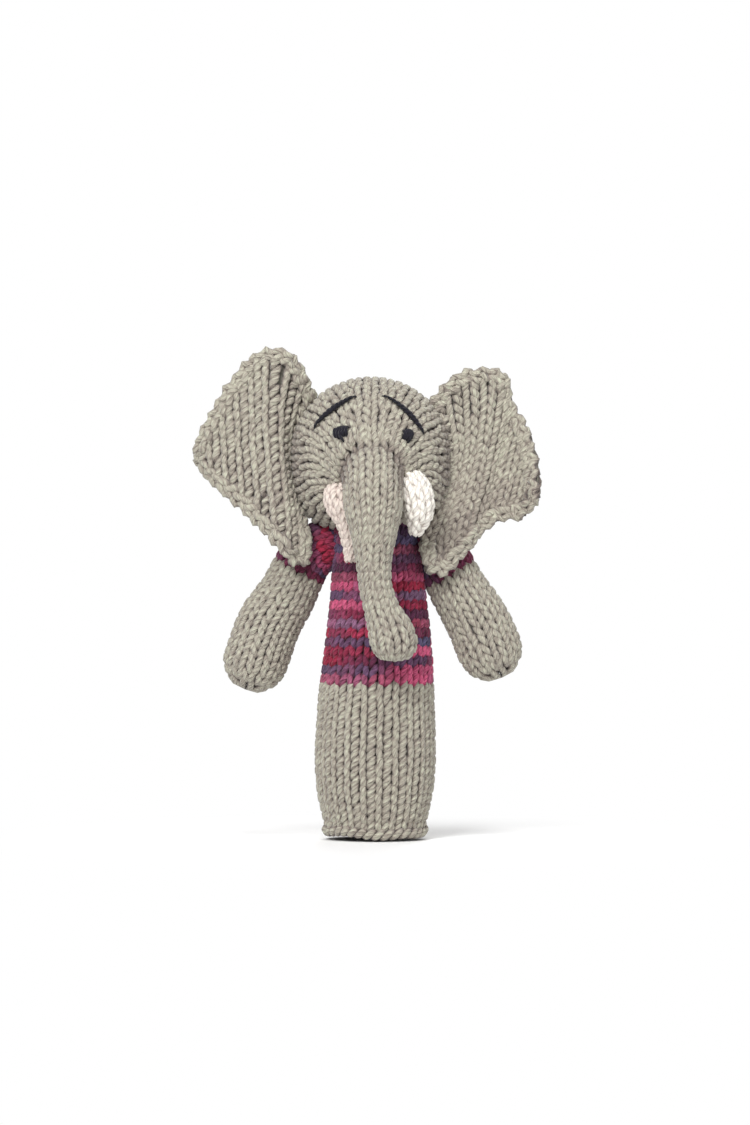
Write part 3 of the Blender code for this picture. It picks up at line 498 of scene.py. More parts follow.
class Knitting:
    """Collects strands of yarn, and makes them one mesh with the yarn's run and the bake's layout."""

    def __init__(self):
        self.points, self.quads, self.caps = [], [], []
        self.run, self.dye, self.open_to, self.strips = [], [], [], []
        self.count = 0
        self.length = 0.0

    def strand(self, points, normals, half_width, half_depth, closed=False, dye=None, out=1.0):
        """A tube of yarn along points, flattened against the fabric whose normals are given.

        out is 1 where the strand lies open on that side of the fabric, and -1 where on the other.
        The material paints shade on the sides of the strand turned from it, more as out nears 0.
        """
        n = len(points)
        if closed:
            ahead, behind = np.roll(points, -1, 0), np.roll(points, 1, 0)
        else:
            ahead = np.vstack([points[1:], 2 * points[-1:] - points[-2:-1]])
            behind = np.vstack([2 * points[:1] - points[1:2], points[:-1]])
        run = unit(ahead - behind)
        side = unit(np.cross(run, normals))
        rise = np.cross(side, run)
        turn = np.linspace(0, 2 * math.pi, STRAND_SIDES, endpoint=False)
        width, depth = (np.broadcast_to(half, n)[:, None] for half in (half_width, half_depth))
        ring = (
            points[:, None]
            + (side * width)[:, None] * np.cos(turn)[:, None]
            + (rise * depth)[:, None] * np.sin(turn)[:, None]
        )
        index = self.count + np.arange(n * STRAND_SIDES).reshape(n, STRAND_SIDES)
        rows = n if closed else n - 1
        a, b = index[:rows], np.roll(index, -1, 0)[:rows]
        quads = np.stack([a, np.roll(a, -1, 1), np.roll(b, -1, 1), b], -1)
        # The yarn's own layout: round the strand, and along the whole length of yarn
        along = self.length + np.concatenate([[0], np.cumsum(np.linalg.norm(ahead - points, axis=1))])
        left = np.arange(STRAND_SIDES) / STRAND_SIDES
        grid = np.empty((rows, STRAND_SIDES, 4, 2))
        grid[:, :, [0, 3], 0] = left[:, None]
        grid[:, :, [1, 2], 0] = left[:, None] + 1 / STRAND_SIDES
        grid[:, :, :2, 1] = along[:rows, None, None]
        grid[:, :, 2:, 1] = along[1 : rows + 1, None, None]
        self.points.append(ring.reshape(-1, 3))
        self.quads.append(quads.reshape(-1, 4))
        self.run.append(grid.reshape(-1, 4, 2))
        self.strips.append((self.length, along[rows] - self.length))
        if not closed:
            self.caps += [index[0], index[-1][::-1]]
        if dye is not None:
            self.dye.append(np.repeat(dye, STRAND_SIDES, axis=0))
        self.open_to.append(np.repeat(np.broadcast_to(out, n), STRAND_SIDES))
        self.count += n * STRAND_SIDES
        self.length = along[rows]

    def layout(self):
        """Each strand is a band of the bake's map. Bands are laid on shelves as wide as the longest."""
        lengths = [length for _, length in self.strips]
        shelf_width = max(max(lengths), math.sqrt(sum(lengths) * BAND_HEIGHT))
        places, shelf, used = [], 0, 0.0
        for length in lengths:
            if used + length > shelf_width * 1.001:
                shelf, used = shelf + 1, 0.0
            places.append((shelf, used))
            used += length + shelf_width * 0.002
        corners = []
        for (begin, _), (on_shelf, start), run in zip(self.strips, places, self.run):
            u = (run[..., 1] - begin + start) / (shelf_width * 1.01)
            v = (on_shelf + 0.04 + 0.92 * run[..., 0]) / (shelf + 1)
            corners.append(np.stack([u, v], -1).reshape(-1, 2))
        return np.concatenate(corners)

    def make(self, name):
        """One object: yarn's run, bake's layout, dyes, where strands lie open, and painted shade."""
        mesh = bpy.data.meshes.new(name)
        mesh.from_pydata(np.concatenate(self.points), [], [*np.concatenate(self.quads), *self.caps])
        cap_corners = len(self.caps) * STRAND_SIDES
        run = np.concatenate([np.concatenate(self.run).reshape(-1, 2), np.zeros((cap_corners, 2))])
        run[:, 1] *= 1000  # in millimetres along the yarn
        flat = np.concatenate([self.layout(), np.full((cap_corners, 2), 0.999)])
        for layer, places in (("yarn_run", run), ("OFBake", flat)):
            made = mesh.uv_layers.new(name=layer)
            made.uv.foreach_set("vector", places.ravel().astype(np.float32))
        if self.dye:
            colours = np.concatenate(self.dye)
            attribute = mesh.attributes.new("dye", "FLOAT_COLOR", "POINT")
            attribute.data.foreach_set("color", np.hstack([colours, np.ones((len(colours), 1))]).ravel())
        shown = mesh.attributes.new("open_to", "FLOAT", "POINT")
        shown.data.foreach_set("value", np.concatenate(self.open_to).astype(np.float32))
        mesh.shade_smooth()
        return add_object(name, mesh)


def stitch_shape(steps, closed):
    """One stitch: across in wales and up in courses from its middle, and how far it stands out."""
    t = np.linspace(0, 2 * math.pi, steps, endpoint=not closed)
    across = t / (2 * math.pi) - 0.5 + np.where(t < math.pi, *LEG_SPLAY) * np.sin(2 * t)
    up = -LEG_REACH * np.cos(t)
    out = -np.cos(2 * t)
    plump = PLUMPNESS[0] + PLUMPNESS[1] * np.sin(t) ** 2
    # A stitch's middle moves freely, and its ends stay where the next stitch begins
    hold = (1 - np.cos(t)) / 2
    return across, up, out, plump, hold


def knit_round(
    knitting, surface, along, course, wales, wool, phase=0.0, up=1, dye_at=None, shade_at=None
):
    """One row of stitches round a closed surface. up is 1 if the row grows along the surface."""
    across, rise, out, plump, hold = stitch_shape(STITCH_STEPS, True)
    moved, raised, lifted, thicker = random.normal(0, 1, (4, wales, 1)) * UNEVEN[:, None, None] * hold
    stitch = np.arange(wales)[:, None]
    turn = ((stitch + across + moved) / wales * 2 * math.pi + phase).ravel()
    place = (along + up * course * (rise + raised)).ravel()
    normals = outward(surface, turn, place)
    lift = RIDGE - wool[1] - LEG_RISE + LEG_RISE * out + lifted
    points = surface(turn, place) + normals * lift.ravel()[:, None]
    thick = (plump * (1 + thicker)).ravel()
    # A strand is no wider than half the wale that it lies in
    gap = np.linalg.norm(surface(turn + math.pi / wales, place) - surface(turn, place), axis=1)
    width = np.minimum(wool[0], gap * 0.60 + SQUEEZE)
    depth = np.minimum(wool[1], width * 1.1)
    dye = None if dye_at is None else dye_at(stitch + across).reshape(-1, 3)
    out = np.broadcast_to(out, (wales, STITCH_STEPS)).ravel()
    # Where shade_at gives shade, out is lowered, so that shade is painted on the strand
    if shade_at is not None:
        out = out * (1 - 0.85 * shade_at(points))
    knitting.strand(points, normals, width * thick, depth * thick, closed=True, dye=dye, out=out)


# Thin sheets behind the yarn


def add_object(name, data):
    obj = bpy.data.objects.new(name, data)
    bpy.context.scene.collection.objects.link(obj)
    return obj


def thin_sheet(name, points, faces, thickness):
    mesh = bpy.data.meshes.new(name)
    mesh.from_pydata([tuple(p) for p in points], [], faces)
    mesh.shade_smooth()
    obj = add_object(name, mesh)
    wall = obj.modifiers.new("wall", "SOLIDIFY")
    wall.thickness = thickness
    wall.offset = 0
    return obj


def grid_faces(rows, columns, closed=True):
    """The faces of a grid of points. closed says that each row runs round to its first point."""
    faces = []
    for row in range(rows - 1):
        for k in range(columns if closed else columns - 1):
            a, b = row * columns + k, row * columns + (k + 1) % columns
            faces.append((a, b, b + columns, a + columns))
    return faces


def rings(places, columns):
    """Angle and place of each point of a grid round a closed surface, and the grid's faces."""
    turn = np.linspace(0, 2 * math.pi, columns, endpoint=False)
    along, angle = np.meshgrid(places, turn, indexing="ij")
    return angle.ravel(), along.ravel(), grid_faces(len(places), columns)


def lining(name, surface, places, columns, depth=LINING_DEPTH, closed_ends=(True, True)):
    """A thin layer between the fronts and the backs of the stitches, so that no light comes through."""
    angle, along, faces = rings(places, columns)
    points = surface(angle, along) - outward(surface, angle, along) * depth
    first, last = list(range(columns)), list(range(len(points) - columns, len(points)))
    for ring, closed in ((first[::-1], closed_ends[0]), (last, closed_ends[1])):
        if closed:
            faces.append(ring)
    return thin_sheet(name, points, faces, LINING_WALL)


# Materials


def feed(tree, node, values):
    """Sets each input of a node to its value, or links it to the output that is given for it."""
    for slot, value in values.items():
        if isinstance(value, bpy.types.NodeSocket):
            tree.links.new(value, node.inputs[slot])
        else:
            node.inputs[slot].default_value = value
    return node


def add_node(tree, kind, values=None):
    return feed(tree, tree.nodes.new(kind), values or {})


def compute(tree, operation, *values):
    """A number worked out from numbers or outputs."""
    node = add_node(tree, "ShaderNodeMath")
    node.operation = operation
    return feed(tree, node, dict(enumerate(values))).outputs[0]


def compute_vector(tree, operation, values, output="Vector"):
    node = add_node(tree, "ShaderNodeVectorMath")
    node.operation = operation
    return feed(tree, node, values).outputs[output]


def remap(tree, value, start, end, low=0.0, high=1.0, smooth=False):
    """low where the value is start, and high where it is end."""
    node = add_node(tree, "ShaderNodeMapRange")
    if smooth:
        node.interpolation_type = "SMOOTHSTEP"
    names = ("Value", "From Min", "From Max", "To Min", "To Max")
    return feed(tree, node, dict(zip(names, (value, start, end, low, high)))).outputs[0]


def noise(tree, place, **settings):
    values = {name.capitalize(): value for name, value in settings.items()}
    return add_node(tree, "ShaderNodeTexNoise", {"Vector": place, **values}).outputs[0]


def attribute(tree, name, output):
    node = add_node(tree, "ShaderNodeAttribute")
    node.attribute_name = name
    return node.outputs[output]


def plied_wool_group():
    """Twisted plies and heathered fibres: takes a colour, gives a colour, a height and a roughness."""
    group = bpy.data.node_groups.new("plied_wool", "ShaderNodeTree")
    for way, names in (
        ("INPUT", ("Colour", "Heather", "Plies", "Twist", "Shade")),
        ("OUTPUT", ("Colour", "Height", "Roughness")),
    ):
        for name in names:
            kind = "NodeSocketColor" if name == "Colour" else "NodeSocketFloat"
            group.interface.new_socket(name=name, in_out=way, socket_type=kind)
    given = group.nodes.new("NodeGroupInput").outputs
    result = group.nodes.new("NodeGroupOutput")

    def maths(operation, *values):
        return compute(group, operation, *values)

    run = add_node(group, "ShaderNodeUVMap")
    run.uv_map = "yarn_run"
    around, along, _ = add_node(group, "ShaderNodeSeparateXYZ", {0: run.outputs[0]}).outputs
    # Plies wind round the strand: their phase grows round it and along it
    winding = maths("MULTIPLY", along, given["Twist"])
    winding = maths("ADD", maths("MULTIPLY", around, given["Plies"]), winding)
    ply = maths("ABSOLUTE", maths("SINE", maths("MULTIPLY", winding, math.pi)))
    groove = maths("POWER", maths("SUBTRACT", 1.0, ply), 3.0)

    place = add_node(group, "ShaderNodeTexCoord").outputs["Object"]
    fibres = noise(group, place, scale=2600, detail=3, roughness=0.6)
    # Fibres follow the plies, so their pattern is drawn out along the strand
    drawn = {0: maths("MULTIPLY", winding, 6.0), 1: maths("MULTIPLY", along, 0.8)}
    drawn = add_node(group, "ShaderNodeCombineXYZ", drawn).outputs[0]
    streaks = noise(group, drawn, scale=1.0, detail=2)
    patches = noise(group, place, scale=330, detail=2)
    patches = maths("MULTIPLY", maths("SUBTRACT", patches, 0.5), 0.7)
    heather = maths("ADD", remap(group, streaks, 0.32, 0.68, -0.5, 0.5), patches)
    shade = maths("ADD", 1.0, maths("MULTIPLY", heather, given["Heather"]))
    # The grooves between the plies are painted darker, as shade
    shade = maths("SUBTRACT", shade, maths("MULTIPLY", groove, 0.36))

    # The sides of a strand, and where it dips behind the next one, lie in the shade
    facing = maths("SINE", maths("MULTIPLY", around, 2 * math.pi))
    facing = maths("MULTIPLY", facing, attribute(group, "open_to", "Fac"))
    lost = maths("MULTIPLY", remap(group, facing, -0.25, 0.8, 1.0, 0.0, smooth=True), given["Shade"])
    shade = maths("MULTIPLY", shade, maths("SUBTRACT", 1.0, lost))
    tint = compute_vector(group, "SCALE", {0: given["Colour"], "Scale": shade})
    # Where the colour is darker, as painted shade and as darker heather, it is a little redder
    depth = maths("SUBTRACT", 1.0, shade)
    red = compute_vector(group, "SCALE", {0: (0.16, -0.06, 0.06), "Scale": depth})
    shade_reddened = compute_vector(group, "MULTIPLY_ADD", {0: red, 1: tint, 2: tint})

    height = maths("ADD", maths("MULTIPLY", ply, 0.7), maths("MULTIPLY", fibres, 0.45))
    height = maths("ADD", height, maths("MULTIPLY", streaks, 0.4))
    roughness = maths("ADD", 0.78, maths("MULTIPLY", fibres, 0.25))
    feed(group, result, {"Colour": shade_reddened, "Height": height, "Roughness": roughness})
    return group


PLIED_WOOL = plied_wool_group()


def new_material(name):
    material = bpy.data.materials.new(name)
    material.use_nodes = True
    return material, material.node_tree, material.node_tree.nodes["Principled BSDF"]


def wool(name, colour, heather, sheen=0.1, shade=0.62):
    """A yarn of one colour, or of the dyes that the knitting carries where the colour is None."""
    material, tree, shader = new_material(name)
    yarn = add_node(tree, "ShaderNodeGroup")
    yarn.node_tree = PLIED_WOOL
    given = attribute(tree, "dye", "Color") if colour is None else (*colour, 1)
    feed(tree, yarn, {
        "Colour": given, "Heather": heather, "Plies": PLIES, "Twist": PLY_TWIST, "Shade": shade,
    })
    relief = {"Strength": 0.8, "Distance": RELIEF, "Height": yarn.outputs["Height"]}
    feed(tree, shader, {
        "Base Color": yarn.outputs["Colour"],
        "Roughness": yarn.outputs["Roughness"],
        "Normal": add_node(tree, "ShaderNodeBump", relief).outputs["Normal"],
        "Sheen Weight": sheen,
        "Sheen Roughness": 0.5,
        "Specular IOR Level": 0.25,
    })
    return material


def fibre_material(name, dark, light, roughness, scale, detail=2, relief=None):
    """Loose fibres, between a dark and a light colour."""
    material, tree, shader = new_material(name)
    fibres = noise(tree, add_node(tree, "ShaderNodeTexCoord").outputs["Object"], scale=scale, detail=detail)
    shades = add_node(tree, "ShaderNodeValToRGB", {0: fibres})
    for element, colour in zip(shades.color_ramp.elements, (dark, light)):
        element.color = (*colour, 1)
    feed(tree, shader, {"Base Color": shades.outputs[0], "Roughness": roughness})
    if relief:
        bump = add_node(tree, "ShaderNodeBump", {"Distance": relief, "Height": fibres})
        feed(tree, shader, {"Normal": bump.outputs["Normal"]})
    return material


def lining_shade_material(name, colour):
    dark, light = [c * 0.55 for c in colour], [c * 0.95 for c in colour]
    return fibre_material(name, dark, light, 0.95, scale=900, relief=RELIEF)


grey_wool = wool("grey_wool", GREY, 0.85, sheen=0.25, shade=0.70)
striped_wool = wool("striped_wool", None, 1.1, sheen=0.08, shade=0.93)
cream_wool = wool("cream_wool", CREAM, 0.14, shade=0.18)
shaded_cream_wool = wool("shaded_cream_wool", SHADED_CREAM, 0.14, shade=0.25)
black_wool = wool("black_wool", BLACK, 0.4)
# The sheets behind the stitches are darker than the yarn: painted shade in the gaps between stitches
grey_lining_shade = lining_shade_material("grey_lining_shade", [c * 0.42 for c in GREY])
striped_lining_shade = lining_shade_material("striped_lining_shade", STRIPED_LINING_SHADE)
cream_lining_shade = lining_shade_material("cream_lining_shade", CREAM)


# Pieces


def settle(obj, material, node):
    """Gives a piece its material, and says what it rides on and stands for."""
    obj.data.materials.append(material)
    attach(obj, "root")
    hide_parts(node)
    return obj


def dye_from(first_stitch):
    """The colours of a strand by the stitch, which run into each other where one dye meets the next."""
    dyes, counts = (np.array(column) for column in zip(*DYE_RUN))
    ends = np.cumsum(counts)
    uneven = np.random.default_rng(first_stitch)

    def at(stitch):
        place = (np.asarray(stitch) + first_stitch) % ends[-1]
        here = np.searchsorted(ends, place, side="right") % len(dyes)
        left = ends[here] - place
        share = np.clip(0.5 - left / DYE_BLUR, 0, 1)[..., None]
        before = np.clip(0.5 - (counts[here] - left) / DYE_BLUR, 0, 1)[..., None]
        plain = dyes[here] * (1 - share - before)
        plain = plain + dyes[(here + 1) % len(dyes)] * share + dyes[here - 1] * before
        # The dye took unevenly: blotches of another dye, and lighter and darker lengths
        stretch = (place / BLOTCH_LENGTH).astype(int) % 40
        blotch = uneven.integers(0, len(dyes), 40)[stretch]
        strength = uneven.uniform(0, 0.38, 40)[stretch][..., None]
        light = uneven.uniform(0.78, 1.18, 60)[(place / LIGHT_LENGTH).astype(int) % 60][..., None]
        return (plain * (1 - strength) + dyes[blotch] * strength) * light

    return at


def cast_on(knitting):
    """The edge of the hem: two strands twisted round each other, a little wavy."""
    turn = np.linspace(0, 2 * math.pi, HEM_TWISTS * STITCH_STEPS, endpoint=False)
    wave = HEM_WAVES[0] * np.sin(2 * turn + 0.6) + HEM_WAVES[1] * np.sin(5 * turn)
    for start in (0, math.pi):
        phase = HEM_TWISTS * turn + start + 0.5 * np.sin(3 * turn)
        height = HEM_HEIGHT + wave + HEM_TWIST_RISE * np.sin(phase)
        normals = outward(body_surface, turn, height)
        out = np.cos(phase)
        points = body_surface(turn, height) + normals * (HEM_TWIST_OUT * out - 0.0002)[:, None]
        knitting.strand(points, normals, WOOL[0] * 1.02, WOOL[1] * 0.95, closed=True, out=out)


def make_body():
    skirt, jumper = Knitting(), Knitting()
    course = (JUMPER_HEM - HEM_HEIGHT) / SKIRT_COURSES
    for row in range(SKIRT_COURSES):
        height = HEM_HEIGHT + course * (row + BODY_ROW_MIDDLE)
        knit_round(skirt, body_surface, height, course, BODY_WALES, WOOL)
    cast_on(skirt)
    course = (JUMPER_NECK - JUMPER_HEM) / JUMPER_COURSES
    for row in range(JUMPER_COURSES):
        height = JUMPER_HEM + course * (row + BODY_ROW_MIDDLE)
        dye = dye_from(row * BODY_WALES)
        knit_round(jumper, body_surface, height, course, BODY_WALES, WOOL, dye_at=dye)
    skirt = settle(skirt.make("skirt_stitches"), grey_wool, "body_tube")
    jumper = settle(jumper.make("jumper_stitches"), striped_wool, "body_tube")
    heights = np.linspace(HEM_HEIGHT - HEM_TWIST_OUT, JUMPER_HEM, 20)
    lower = lining("skirt_lining", body_surface, heights, 66, closed_ends=(False, False))
    heights = np.linspace(JUMPER_HEM, JUMPER_NECK, 20)
    upper = lining("jumper_lining", body_surface, heights, 66, closed_ends=(False, True))
    settle(lower, grey_lining_shade, "body_tube")
    settle(upper, striped_lining_shade, "body_tube")


def make_head():
    head, trunk = Knitting(), Knitting()
    rows = round(HEAD_END / HEAD_COURSE)
    course = HEAD_END / rows
    for row in range(rows):
        along = (row + 0.5) * course
        wales = [wales for start, wales in HEAD_WALES_FROM if along > start][-1]
        knit_round(
            trunk if along > TRUNK_PLACES[TRUNK_SWELL_INDEX] else head,
            head_surface, along, course, wales, WOOL, phase=math.pi / 2, up=-1, shade_at=head_shade,
        )
    node = "head_with_trunk"
    settle(head.make("head_stitches"), grey_wool, node)
    settle(trunk.make("trunk_stitches"), grey_wool, node)
    places = [0.0006, *np.linspace(0.002, HEAD_END - 0.002, 80), HEAD_END - 0.0006]
    behind = lining("head_lining", head_surface, places, 84, LINING_DEPTH + 0.0003)
    settle(behind, grey_lining_shade, node)


def make_arm(side):
    surface, whole = arm_surface_from(ARM_LINES[side], ARM_HALF_WIDTHS)
    grey, sleeve = Knitting(), Knitting()
    rows = round(whole / ARM_COURSE)
    course = whole / rows
    for row in range(-SLEEVE_INSIDE, rows):
        along = (row + 0.5) * course
        if row < SLEEVE_COURSES:
            dye = dye_from(SLEEVE_DYES_FROM[side] + row * ARM_WALES)
            knit_round(sleeve, surface, along, course, ARM_WALES, WOOL, up=-1, dye_at=dye)
        else:
            wales = ARM_WALES if along < whole - HAND_CLOSES else ARM_WALES // 2
            knit_round(grey, surface, along, course, wales, WOOL, up=-1)
    node = side + "_arm"
    hand = settle(grey.make(node + "_stitches"), grey_wool, node)
    cuff = settle(sleeve.make(side + "_sleeve_stitches"), striped_wool, node)
    behind = lining(node + "_lining", surface, np.linspace(0.0005, whole - 0.0006, 24), 40)
    settle(behind, grey_lining_shade, node)


def flat_cut(upper, lower, seam):
    """Width and length of the ear's knitting as it lies flat, and its area."""
    outline = np.array([*upper, *seam[1:], *lower[-2::-1]])
    after = np.roll(outline, -1, 0)
    area = abs(np.sum(outline[:, 0] * after[:, 1] - outline[:, 1] * after[:, 0])) / 2
    return tuple(np.ptp(outline, 0)), area


def ear_normals(surface, across, down):
    side_way = surface(across + 0.004, down) - surface(across - 0.004, down)
    down_way = surface(across, down + 0.004) - surface(across, down - 0.004)
    normals = unit(np.cross(side_way, down_way))
    return np.where(normals[..., 1:2] > 0, -normals, normals)


def spread_evenly(surface):
    """The same surface, with the way across it such that the columns are equally wide."""
    across = np.linspace(0, 1, 60)
    widths = 0
    for down in (0.25, 0.5, 0.75):
        line = lengths_along(surface(across, np.full(60, down)))
        widths = widths + line / line[-1]
    return lambda share, down: surface(np.interp(share, widths / widths[-1], across), down)


def make_ear(side):
    outwards, upper, lower, seam, forward = EARS[side]
    surface = spread_evenly(ear_surface_from(outwards, upper, lower, seam, forward))
    node = side + "_ear"
    columns, edge = Knitting(), Knitting()
    knit_ear(columns, surface, EAR_WALES[side], EAR_LOWER_SHADE[side])
    knit_ear_edge(edge, surface)
    sew_ear(edge, surface, outwards)
    stitches = settle(columns.make(node + "_stitches"), grey_wool, node)
    edge = settle(edge.make(node + "_edge"), grey_wool, node)
    # A dark sheet between the stitches, as painted shade in the gaps, which ends inside the edge
    rows, wide = 22, 18
    across, down = np.meshgrid(np.linspace(0.03, 1, wide), np.linspace(0.02, 0.98, rows))
    points = surface(across.ravel(), down.ravel())
    shade_ground = thin_sheet(node + "_ground", points, grid_faces(rows, wide, closed=False), EAR_WALL)
    settle(shade_ground, grey_lining_shade, node)
    size, area = flat_cut(upper, lower, seam)


def knit_ear(knitting, surface, wales, lower_shade):
    """The stitches of the flap stand in columns from its upper to its lower edge."""
    across, rise, out, plump, hold = stitch_shape(STITCH_STEPS + 1, False)
    for wale in range(wales):
        middle = (wale + 0.5) / wales
        top, bottom = surface(np.array([middle, middle]), np.array([0.0, 1.0]))
        length = np.linalg.norm(top - bottom)
        inset = EAR_RIM * 0.7 / length
        count = max(2, round(length * (1 - 2 * inset) / EAR_COURSE))
        for course in range(count):
            shift = random.normal(0, 1, 4)
            place_across = (wale + 0.5 + across + shift[0] * 0.05 * hold) / wales
            place_down = inset + (course + 0.5 - rise - shift[1] * 0.08 * hold) / count * (1 - 2 * inset)
            place_down = np.clip(place_down, 0.01, 0.99)
            normals = ear_normals(surface, place_across, place_down)
            points = surface(place_across, place_down) + normals * (EAR_LEG_RISE * out)[:, None]
            back = np.maximum(place_across - 0.5 / wales, 0)
            front = np.minimum(place_across + 0.5 / wales, 1)
            wide = np.linalg.norm(surface(front, place_down) - surface(back, place_down), axis=1)
            half = wide / (front - back) / wales * 0.5
            width = np.minimum(WOOL[0] * 1.05, half * 0.54 + SQUEEZE)
            thick = plump * (1 + 0.05 * shift[3])
            # The lower part of the ear is painted darker, as shade
            lit = out * (1 - lower_shade * np.clip(place_down * 1.5 - 0.4, 0, 1))
            knitting.strand(points, normals, width * thick, np.minimum(WOOL[1], width) * thick, out=lit)


def knit_ear_edge(knitting, surface):
    """A column of stitches along the rim, plumper and less even than the rest."""
    walk = np.array(
        [(1.0 - a, 0.0) for a in np.linspace(0, 1, 40)]
        + [(0.0, d) for d in np.linspace(0, 1, 6)[1:]]
        + [(a, 1.0) for a in np.linspace(0, 1, 40)[1:]]
        + [(1.0, 1.0 - d) for d in np.linspace(0, 0.2, 8)[1:]]
    )
    middle = surface(np.array([0.5]), np.array([0.5]))[0]
    rim = surface(walk[:, 0], walk[:, 1])
    at, length = line_through(rim)
    walk_at = smooth_through(lengths_along(rim), walk)
    count = round(length / (EAR_COURSE * 1.05))
    step = length / count
    across, rise, out, plump, hold = stitch_shape(STITCH_STEPS + 1, False)
    for k in range(count):
        shift = random.normal(0, 1, 4)
        place = np.clip((k + 0.5 + rise + shift[1] * 0.1 * hold) * step, 0, length)
        here, share = at(place), walk_at(place)
        run = unit(at(place + 6e-4) - at(place - 6e-4))
        normal = ear_normals(surface, *share.T)
        inward = np.cross(run, normal)
        inward *= np.sign(np.sum(inward * (middle - here), -1))[:, None]
        # At the narrow outer end the stitches fan round the corner
        fan = np.clip(1 - share[:, :1] * 4, 0, 1)
        inward = unit(inward + fan * unit(middle - here))
        # The loops that hold the stitches from behind end short of the edge
        reach = EAR_RIM * (0.46 + across * 0.92 + 0.05 * shift[0] * hold)
        scallop = EAR_SCALLOP * (np.sin(2 * math.pi * place / SCALLOP_LENGTH) + 0.25 * shift[2] * hold)
        reach = np.maximum(reach, EAR_RIM * (0.15 + 0.11 * (1 - out))) - scallop
        # The outer legs turn back over the edge
        over = np.clip((EAR_RIM * 0.3 - reach) / EAR_RIM, 0, 1)
        lift = LEG_RISE * out * (1.1 + 0.15 * shift[2]) + EDGE_LIFT - over * EDGE_TURNS_BACK
        points = here + inward * reach[:, None] + normal * lift[:, None]
        facing = unit(normal - inward * (over * 4)[:, None])
        thick = plump * (1.1 + 0.08 * shift[3])
        knitting.strand(points, facing, WOOL[0] * thick, WOOL[1] * thick, out=out)


def sew_ear(knitting, surface, outwards):
    """The stitches of the seam, which go from the ear's fabric into the head."""
    share, rise = np.array(SEAM_PATH).T
    for down in np.linspace(0.03, SEAM_SEWN_TO, SEAM_STITCHES):
        down = np.full(len(share), down + random.normal(0, 0.006))
        normal = ear_normals(surface, share, down)
        points = [*(surface(share, down) + normal * rise[:, None])]
        for inwards, back, up in SEAM_INTO_HEAD:
            points.append(points[-1] + (-outwards * inwards, back, up))
        at, length = line_through(points)
        stops = np.linspace(0, length, 9)
        thick = WOOL[0] * random.normal(0.85, 0.05)
        # Where it goes into the head, shade is painted on the strand's top
        knitting.strand(at(stops), np.repeat(normal[1:2], 9, 0), thick, thick, out=np.linspace(1, -0.6, 9))


def make_tusk(side):
    line, widths, material = TUSKS[side]
    surface, length = tapered_surface_from(line, widths)
    knitting = Knitting()
    rows = round(length / TUSK_COURSE)
    course = length / rows
    for row in range(rows):
        wales = TUSK_WALES if row < rows - 2 else TUSK_WALES // 2
        knit_round(knitting, surface, (row + 0.5) * course, course, wales, TUSK_WOOL, up=-1)
    node = side + "_tusk"
    settle(knitting.make(node + "_stitches"), material, node)
    behind = lining(node + "_lining", surface, np.linspace(0.0003, length - 0.0003, 14), 20, 0.0008)
    settle(behind, cream_lining_shade, node)


def face_finder():
    """A function from (x, z) off the middle of the head to the place on the face and its normal."""
    angle, along, faces = rings(np.linspace(0.004, HEAD_END - 0.004, 90), 72)
    tree = BVHTree.FromPolygons([tuple(p) for p in head_surface(angle, along)], faces)

    def find(x, z):
        start = Vector(HEAD_MIDDLE) + Vector((x, -0.1, z))
        place, normal, _, _ = tree.ray_cast(start, Vector((0, 1, 0)))
        normal = np.array(normal)
        return np.array(place), normal if normal[1] < 0 else -normal

    return find


ON_FACE = face_finder()


def sewn_strand(
    knitting, line, radius, rise, steps=16, ends=0.0006, taper=0.0, fullest=0.5, plies=1
):
    """A stitch of yarn laid on the face, that comes out of it at one end and goes in at the other."""
    at, length = line_through(np.array(line))
    stops = np.linspace(0, length, steps)
    places, normals = (np.array(found) for found in zip(*(ON_FACE(*at(stop)) for stop in stops)))
    full = np.sin(math.pi * (stops / length) ** (math.log(0.5) / math.log(fullest)))
    radius = radius * (1 - taper + taper * full)
    lift = rise * np.clip(np.minimum(stops, length - stops) / ends, 0, 1) ** 0.5 - radius * 0.4
    points = places + normals * lift[:, None]
    if plies == 1:
        knitting.strand(points, normals, radius, radius * 0.9)
        return
    side = unit(np.cross(np.gradient(points, axis=0), normals))
    for ply in range(plies):
        turn = 2 * math.pi * (stops / BROW_TWIST + ply / plies)
        wound = side * np.cos(turn)[:, None] + normals * np.sin(turn)[:, None]
        knitting.strand(points + wound * (radius * 0.45)[:, None], normals, radius * 0.68, radius * 0.64)


def make_eye(side):
    """Upright stitches side by side, and the end of the yarn where it goes in below them."""
    middle, half_width, half_height, tilt, tail = EYES[side]
    knitting = Knitting()
    for row in range(EYE_STITCHES):
        share = (row + 0.5) / EYE_STITCHES * 2 - 1
        x, z = middle[0] + share * half_width * 0.8, middle[1] + share * tilt
        reach = half_height * math.sqrt(1 - (share * 0.8) ** 2)
        lean = EYE_LEAN * (row % 2)
        line = ((x - lean, z - reach), (x, z), (x + lean, z + reach))
        sewn_strand(knitting, line, BLACK_WOOL * 0.95, EYE_RISE, steps=9)
    line = [(middle[0] + x, middle[1] - half_height + z) for x, z in tail]
    sewn_strand(knitting, line, BLACK_WOOL * 0.8, THREAD_RISE, steps=12, taper=0.3)
    settle(knitting.make(side + "_eye_stitches"), black_wool, side + "_eye")


def make_brow(side):
    line, fullest = BROWS[side]
    knitting = Knitting()
    sewn_strand(
        knitting, line, BROW_WOOL, THREAD_RISE, steps=72, ends=0.0012, taper=BROW_TAPER,
        fullest=fullest, plies=2,
    )
    settle(knitting.make(side + "_brow_stitch"), black_wool, side + "_eyebrow")


def finish_stuffing():
    material = fibre_material(
        "fibre_stuffing", (0.70, 0.69, 0.66), (0.92, 0.91, 0.89), 1.0, scale=500, detail=5
    )
    for node in ("head_stuffing", "left_arm_stuffing", "right_arm_stuffing"):
        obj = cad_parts[node]
        obj.data.materials.clear()
        obj.data.materials.append(material)


# Camera, light and floor


